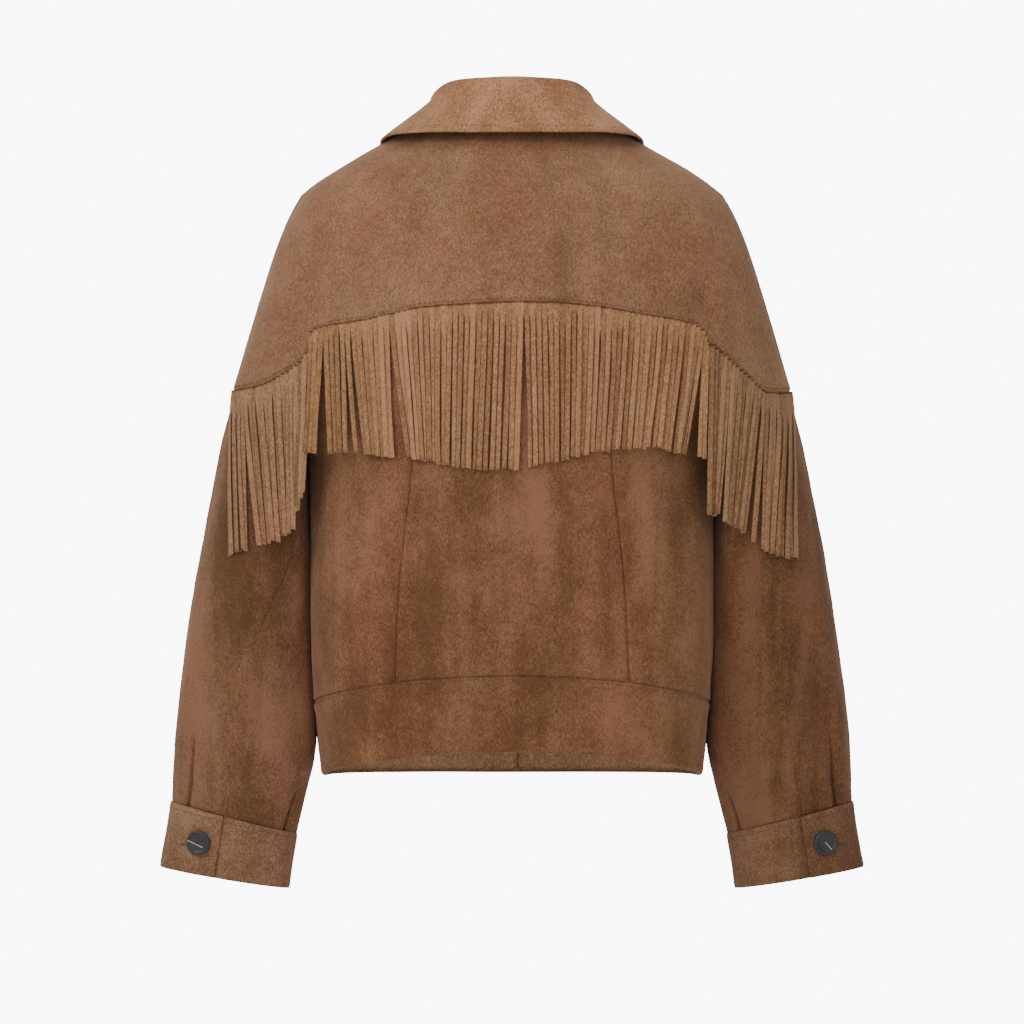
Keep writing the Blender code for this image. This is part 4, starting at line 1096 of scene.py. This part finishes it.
def hung_fringe(fringe, sizes, dice):
    """A fringe cut from one strip: its strands part into bunches, overlap, twist and lie on the cloth."""
    line, along = strip_line(fringe)
    cloth = joined_cloth(fringe.cloths)
    count = round(along[-1] / STRAND_PITCH)
    last = STRAND_ROWS - 1
    points, tones_and_shade = [], []
    for i in range(count):
        share = (i + 0.5) / count
        goal_x = np.interp(share, [s.place for s in fringe.strands], [s.tip_x for s in fringe.strands])
        goal_z = np.interp(share, [s.place for s in fringe.strands], [s.tip_z for s in fringe.strands])
        goal_x += dice.uniform(-TIP_ASIDE, TIP_ASIDE)
        goal_z += dice.uniform(-TIP_BELOW, TIP_ABOVE)
        root = np.array([np.interp(share * along[-1], along, line[:, k]) for k in range(3)])
        lay = (OVERLAP if i % 2 else 0.0) + dice.uniform(0, LAY_STRAY)
        turn, phase, bow = dice.uniform(-TWIST, TWIST), dice.uniform(0, 9), dice.uniform(-1, 1)
        hollow = dice.choice(HOLLOWS)
        half = 0.5 * STRAND_WIDTH * dice.uniform(*WIDTH_RANGE)
        tone = 0.5 + dice.uniform(-TONE_STRAY, TONE_STRAY)
        slit = dice.uniform(0.0, SLIT_STRAY)
        middles, faces = strand_path(root, goal_x, goal_z, cloth)
        for r, (middle, normal) in enumerate(zip(middles, faces)):
            t = max(0.0, (r - 2) / (STRAND_ROWS - 3))
            side = Vector((normal.y, -normal.x, 0))
            twist = turn * min(1, t * 3) * math.sin(t * 4.2 + phase)
            across = side * math.cos(twist) + normal * math.sin(twist)
            face = normal * math.cos(twist) - side * math.sin(twist)
            sway = sizes.fringe_curl * t * bow * math.sin(t * 5 + phase) * 0.5
            middle = middle + normal * (lay * min(1, t * 6)) + side * sway
            roll = hollow * min(1, t * 8)
            wide = half if t > slit else 0.5 * STRAND_PITCH * (1.0 if r < 2 else 0.985)
            slant = TIP_SLANT * bow if r == last else 0.0
            for u in STRAND_COLUMNS:
                rise = face * (roll * (1 - u * u))
                points.append(middle - across * (u * wide) + rise + Vector((0, 0, slant * u)))
                # Each point keeps the strand's own tone less its painted shade
                tones_and_shade.append(tone - strand_shade(u, r, t > slit))
    mesh = bpy.data.meshes.new(fringe.node + "_strands")
    quads = strip_quads(count, fringe.first_x > fringe.last_x)
    mesh.from_pydata([tuple(p) for p in points], [], quads)
    mesh.attributes.new("strand_tone_and_shade", "FLOAT", "POINT").data.foreach_set("value", tones_and_shade)
    if np.mean([p.normal.y for p in mesh.polygons]) < 0:
        mesh.flip_normals()
    return thickened(placed(fringe.node + "_strands", mesh), STRAND_THICKNESS)


# Sewing


def border_runs(bm, low, high):
    """The stretches of a sheet's border inside a box, each as edges in their order."""

    def inside(edge):
        return all(low[k] <= middle_of(edge)[k] <= high[k] for k in range(3))

    left = {e for e in bm.edges if e.is_boundary and inside(e)}
    while left:
        run = [left.pop()]
        for front in (True, False):
            while True:
                end = run[0] if front else run[-1]
                near = next((e for e in left if set(e.verts) & set(end.verts)), None)
                if near is None:
                    break
                left.discard(near)
                run.insert(0 if front else len(run), near)
        yield run


def inset_line(run, inset, cloth):
    """Points along a border run, moved into the sheet by inset and laid on the cloth."""
    line = []
    for edge in run:
        on, normal, _, _ = cloth.find_nearest(middle_of(edge) - way_out(edge) * inset)
        line.append(on + normal * STITCH_LIFT)
    return line


def sheet_of(node):
    """The outer face that a row of stitches follows: the finished one, or the collar's own border."""
    if node == "collar":
        return outer_sheet(COLLAR_PIECE)
    bm = bmesh.new()
    points, faces = OUTER_FACES[node]
    verts = [bm.verts.new(point) for point in points]
    for face in faces:
        bm.faces.new([verts[k] for k in face])
    bm.normal_update()
    return bm


def stitch_tree(material):
    """Geometry nodes that lay a stitch at every pitch along a curve."""
    entries = {"Path": "Geometry", "Pitch": "Float", "Stitch length": "Float", "Thread": "Float"}
    tree, asked, result = node_group("Topstitching", "GeometryNodeTree", entries, {"Stitches": "Geometry"})
    spaced = add(tree, "GeometryNodeResampleCurve", mode="LENGTH", Curve=asked["Path"], Length=asked["Pitch"])
    ball = add(tree, "GeometryNodeMeshUVSphere", Segments=6, Rings=4, Radius=0.5).outputs["Mesh"]
    form = add(tree, "ShaderNodeCombineXYZ", X=asked["Thread"], Y=asked["Thread"], Z=asked["Stitch length"])
    stitch = add(tree, "GeometryNodeTransform", Geometry=ball, Scale=form.outputs["Vector"])
    tangent = add(tree, "GeometryNodeInputTangent").outputs["Tangent"]
    turn = add(tree, "FunctionNodeAlignRotationToVector", axis="Z", Vector=tangent).outputs["Rotation"]
    pair = {"Points": spaced.outputs["Curve"], "Instance": stitch.outputs["Geometry"]}
    laid = add(tree, "GeometryNodeInstanceOnPoints", Rotation=turn, **pair)
    real = add(tree, "GeometryNodeRealizeInstances", Geometry=laid.outputs["Instances"])
    dyed = add(tree, "GeometryNodeSetMaterial", Geometry=real.outputs["Geometry"], Material=material)
    feed(tree, result, {"Stitches": dyed.outputs["Geometry"]})
    return tree


def line_object(name, lines):
    """One curve object with a poly spline for each line of points."""
    data = bpy.data.curves.new(name, "CURVE")
    data.dimensions = "3D"
    for line in lines:
        spline = data.splines.new("POLY")
        spline.points.add(len(line) - 1)
        for point, place in zip(spline.points, line):
            point.co = (*place, 1)
    return placed(name, data)


def stitched(name, lines, tree, pitch, length, thread):
    """Stitches along the lines, as a plain mesh in the thread's material, which is then dressed."""
    path = line_object(name + "_path", lines)
    maker = path.modifiers.new("Stitches", "NODES")
    maker.node_group = tree
    sockets = {item.name: item.identifier for item in tree.interface.items_tree if item.in_out == "INPUT"}
    for label, value in (("Pitch", pitch), ("Stitch length", length), ("Thread", thread)):
        maker[sockets[label]] = value
    shape = evaluated(path)
    path.modifiers.clear()
    bpy.data.objects.remove(path)
    dress(placed(name, shape))


class JACKET_OT_topstitching(bpy.types.Operator):
    """Lays the rows of topstitching beside the seams and edges"""

    bl_idname = "jacket.topstitching"
    bl_label = "Topstitching"

    def execute(self, context):
        sizes, colours = settings()
        tree = stitch_tree(thread_material("Thread brown", tuple(colours.thread)))
        plain = sizes.stitch_pitch, sizes.stitch_length, sizes.thread
        for row in STITCH_ROWS:
            bm = sheet_of(row.node)
            cloth = BVHTree.FromPolygons(*OUTER_FACES[row.node])
            runs = [run for run in border_runs(bm, row.low, row.high) if len(run) > 3]
            lines = [inset_line(run, row.inset, cloth) for run in runs]
            bm.free()
            if not lines:
                raise RuntimeError(f"no edge found for the stitching {row.name}")
            stitched("stitches_" + row.name, lines, tree, *plain)
        for hole in BUTTONHOLES:
            stitched("buttonhole_" + hole.button, buttonhole_lines(hole), tree, *BUTTONHOLE_STITCH)
        return {"FINISHED"}


def buttonhole_lines(hole):
    """The two corded sides of a buttonhole, from under its button outwards, laid on the cloth."""
    cloth = joined_cloth(hole.cloths)
    low, high = (Vector(corner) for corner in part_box(hole.button))
    middle = (low + high) / 2
    way = Vector(hole.way).normalized()
    lines = []
    for off in (-BUTTONHOLE_HALF, BUTTONHOLE_HALF):
        line = []
        for k in range(BUTTONHOLE_POINTS):
            along = middle + way * (hole.reach * k / (BUTTONHOLE_POINTS - 1))
            on, normal, _, _ = cloth.find_nearest(along + Vector((0, 0, off)))
            line.append(on + normal * BUTTONHOLE_LIFT)
        lines.append(line)
    return lines


class JACKET_OT_buttons(bpy.types.Operator):
    """Turns the buttons with a rim and a dish, and sews each on with a line of thread"""

    bl_idname = "jacket.buttons"
    bl_label = "Buttons"

    def execute(self, context):
        _, colours = settings()
        appearance = button_material(colours)
        pale = thread_material("Thread pale", SEWN_THREAD)
        for node in sorted(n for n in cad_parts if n.startswith("button_")):
            bm = merged(node)
            middle, out = button_place(bm)
            radius = max((v.co - middle - out * out.dot(v.co - middle)).length for v in bm.verts)
            bm.free()
            made = turned_button(node + "_turned", middle, out, radius)
            made.data.materials.append(appearance)
            dress(made, replaced=(node,))
            sewn = SEWN_LINES.get(node, FRONT_SEWN_LINE)
            thread = button_thread(node + "_thread", middle, out, radius, sewn)
            thread.data.materials.append(pale)
            dress(thread)
        return {"FINISHED"}


def button_place(bm):
    """The middle of a button's back and the way it faces."""
    points = np.array([v.co[:] for v in bm.verts])
    centre = points.mean(0)
    _, _, axes = np.linalg.svd(points - centre)
    out = Vector(axes[2])
    if out.y * (1 if centre[1] > 0 else -1) < 0:
        out = -out
    heights = (points - centre) @ np.array(out)
    return Vector(centre) + out * heights.min(), out


def turns(steps):
    """Equal angles round a circle."""
    return [2 * math.pi * k / steps for k in range(steps)]


def turned_button(name, middle, out, radius, steps=48):
    """A round button about its own axis from the profile, rim up."""
    across = out.orthogonal().normalized()
    up = out.cross(across)
    bm = bmesh.new()
    rings = []
    for share, tall in BUTTON_PROFILE:
        level = middle + out * (BUTTON_HEIGHT * tall)
        ways = [across * math.cos(t) + up * math.sin(t) for t in turns(steps if share else 1)]
        rings.append([bm.verts.new(level + way * radius * share) for way in ways])
    for first, second in zip(rings, rings[1:]):
        for k in range(steps):
            corners = ((first, k), (first, k + 1), (second, k + 1), (second, k))
            bm.faces.new(list(dict.fromkeys(ring[n % len(ring)] for ring, n in corners)))
    bmesh.ops.recalc_face_normals(bm, faces=bm.faces)
    return finished(bm, name)


def button_thread(name, middle, out, radius, sewn):
    """A line of thread over the face of a button, with its ends going down into it."""
    up = (Vector((0, 0, 1)) - out * out.z).normalized()
    across = up.cross(out)
    bm = bmesh.new()
    start, end = (across * (radius * a) + up * (radius * b) for a, b in (sewn.start, sewn.end))
    side = out.cross((end - start).normalized())
    face_shares, face_heights = zip(*BUTTON_FACE)
    rings = []
    for k in range(SEWN_POINTS):
        t = k / (SEWN_POINTS - 1)
        at = start.lerp(end, t)
        face = BUTTON_HEIGHT * float(np.interp(at.length / radius, face_shares, face_heights))
        rise = SEWN_RISE * math.sqrt(max(0.0, 1 - (2 * t - 1) ** 2)) - 0.0001
        centre = middle + out * (face + rise + 0.0002) + at
        ways = [side * math.cos(a) + out * math.sin(a) for a in turns(6)]
        rings.append([bm.verts.new(centre + way * SEWN_RADIUS) for way in ways])
    for first, second in zip(rings, rings[1:]):
        for j in range(6):
            bm.faces.new((first[j], first[(j + 1) % 6], second[(j + 1) % 6], second[j]))
    for ring in (rings[0], rings[-1]):
        bm.faces.new(ring)
    bmesh.ops.recalc_face_normals(bm, faces=bm.faces)
    return finished(bm, name)


class JACKET_OT_stage(bpy.types.Operator):
    """Sets the pale floor, the soft studio light and the camera"""

    bl_idname = "jacket.stage"
    bl_label = "Studio"

    def execute(self, context):
        _, colours = settings()
        studio_floor(colours)
        for light in LIGHTS:
            area_light(light)
        bpy.context.scene.world = studio_world(colours)
        data = bpy.data.cameras.new("Camera")
        data.lens = CAMERA_LENS
        camera = placed("Camera", data)
        camera.location = CAMERA_PLACE
        camera.rotation_euler = (math.radians(90), 0.0, math.radians(180))
        bpy.context.scene.camera = camera
        return {"FINISHED"}


def bright_to_camera(tree, plain, bright, output):
    """Shows the camera the bright finish, while the plain one lights the jacket."""
    seen = add(tree, "ShaderNodeLightPath").outputs["Is Camera Ray"]
    shown = add(tree, "ShaderNodeMixShader")
    feed(tree, shown, {0: seen, 1: plain.outputs[0], 2: bright.outputs[0]})
    tree.links.new(shown.outputs[0], tree.nodes[output].inputs["Surface"])


def studio_world(colours):
    """Even pale light from all round, which the camera sees as a bright plain ground."""
    world = bpy.data.worlds.new("Studio")
    world.use_nodes = True
    tree, pale = world.node_tree, (*colours.backdrop, 1)
    soft = tree.nodes["Background"]
    feed(tree, soft, {"Color": pale, "Strength": AMBIENT})
    bright = add(tree, "ShaderNodeBackground", Color=pale, Strength=PALE_GROUND)
    bright_to_camera(tree, soft, bright, "World Output")
    return world


def studio_floor(colours):
    """A pale round floor under the jacket, as bright to the camera as the ground behind it."""
    bm = bmesh.new()
    centre = bm.verts.new((0, 0, FLOOR_HEIGHT))
    ways = [(math.cos(t), math.sin(t)) for t in turns(FLOOR_SIDES)]
    rim = [bm.verts.new((FLOOR_REACH * x, FLOOR_REACH * y, FLOOR_HEIGHT)) for x, y in ways]
    for first, second in zip(rim, [*rim[1:], rim[0]]):
        bm.faces.new((centre, first, second))
    made = finished(bm, "studio_floor")
    material, tree, shader = shaded("Studio paper")
    pale = (*colours.backdrop, 1)
    feed(tree, shader, {"Base Color": pale, "Roughness": 0.9})
    bright = add(tree, "ShaderNodeEmission", Color=pale, Strength=PALE_GROUND)
    bright_to_camera(tree, shader, bright, "Material Output")
    made.data.materials.append(material)
    made.data.shade_smooth()
    return made


def area_light(light):
    """A square lamp that looks at the middle of the jacket."""
    data = bpy.data.lights.new(light.name, "AREA")
    data.energy = light.power
    data.size = light.size
    made = placed(light.name, data)
    made.location = light.place
    made.rotation_euler = (Vector(LIT_POINT) - Vector(light.place)).to_track_quat("-Z", "Y").to_euler()


class JACKET_PT_panel(bpy.types.Panel):
    """Lists the jacket's sizes, colours and pieces"""

    bl_idname = "JACKET_PT_panel"
    bl_label = "Fringed cropped jacket"
    bl_space_type = "VIEW_3D"
    bl_region_type = "UI"
    bl_category = "Jacket"

    def draw(self, context):
        for values in (context.scene.jacket_sizes, context.scene.jacket_colours):
            box = self.layout.box()
            for name in values.__annotations__:
                box.prop(values, name)
        for operator in OPERATORS:
            self.layout.operator(operator.bl_idname)


OPERATORS = (
    JACKET_OT_yoke,
    JACKET_OT_body,
    JACKET_OT_sleeves,
    JACKET_OT_cuffs,
    JACKET_OT_collar,
    JACKET_OT_fringe,
    JACKET_OT_topstitching,
    JACKET_OT_buttons,
    JACKET_OT_stage,
)
CLASSES = (JacketSizes, JacketColours, *OPERATORS, JACKET_PT_panel)


def register():
    """Registers the classes and hangs the sizes and colours on the scene."""
    for made in CLASSES:
        bpy.utils.register_class(made)
    bpy.types.Scene.jacket_sizes = bpy.props.PointerProperty(type=JacketSizes)
    bpy.types.Scene.jacket_colours = bpy.props.PointerProperty(type=JacketColours)


def unregister():
    """Undoes what register does."""
    del bpy.types.Scene.jacket_colours
    del bpy.types.Scene.jacket_sizes
    for made in reversed(CLASSES):
        bpy.utils.unregister_class(made)


def main():
    """Makes every piece and the studio."""
    register()
    for operator in OPERATORS:
        category, name = operator.bl_idname.split(".")
        getattr(getattr(bpy.ops, category), name)()
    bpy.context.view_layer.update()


if __name__ == "__main__":
    main()
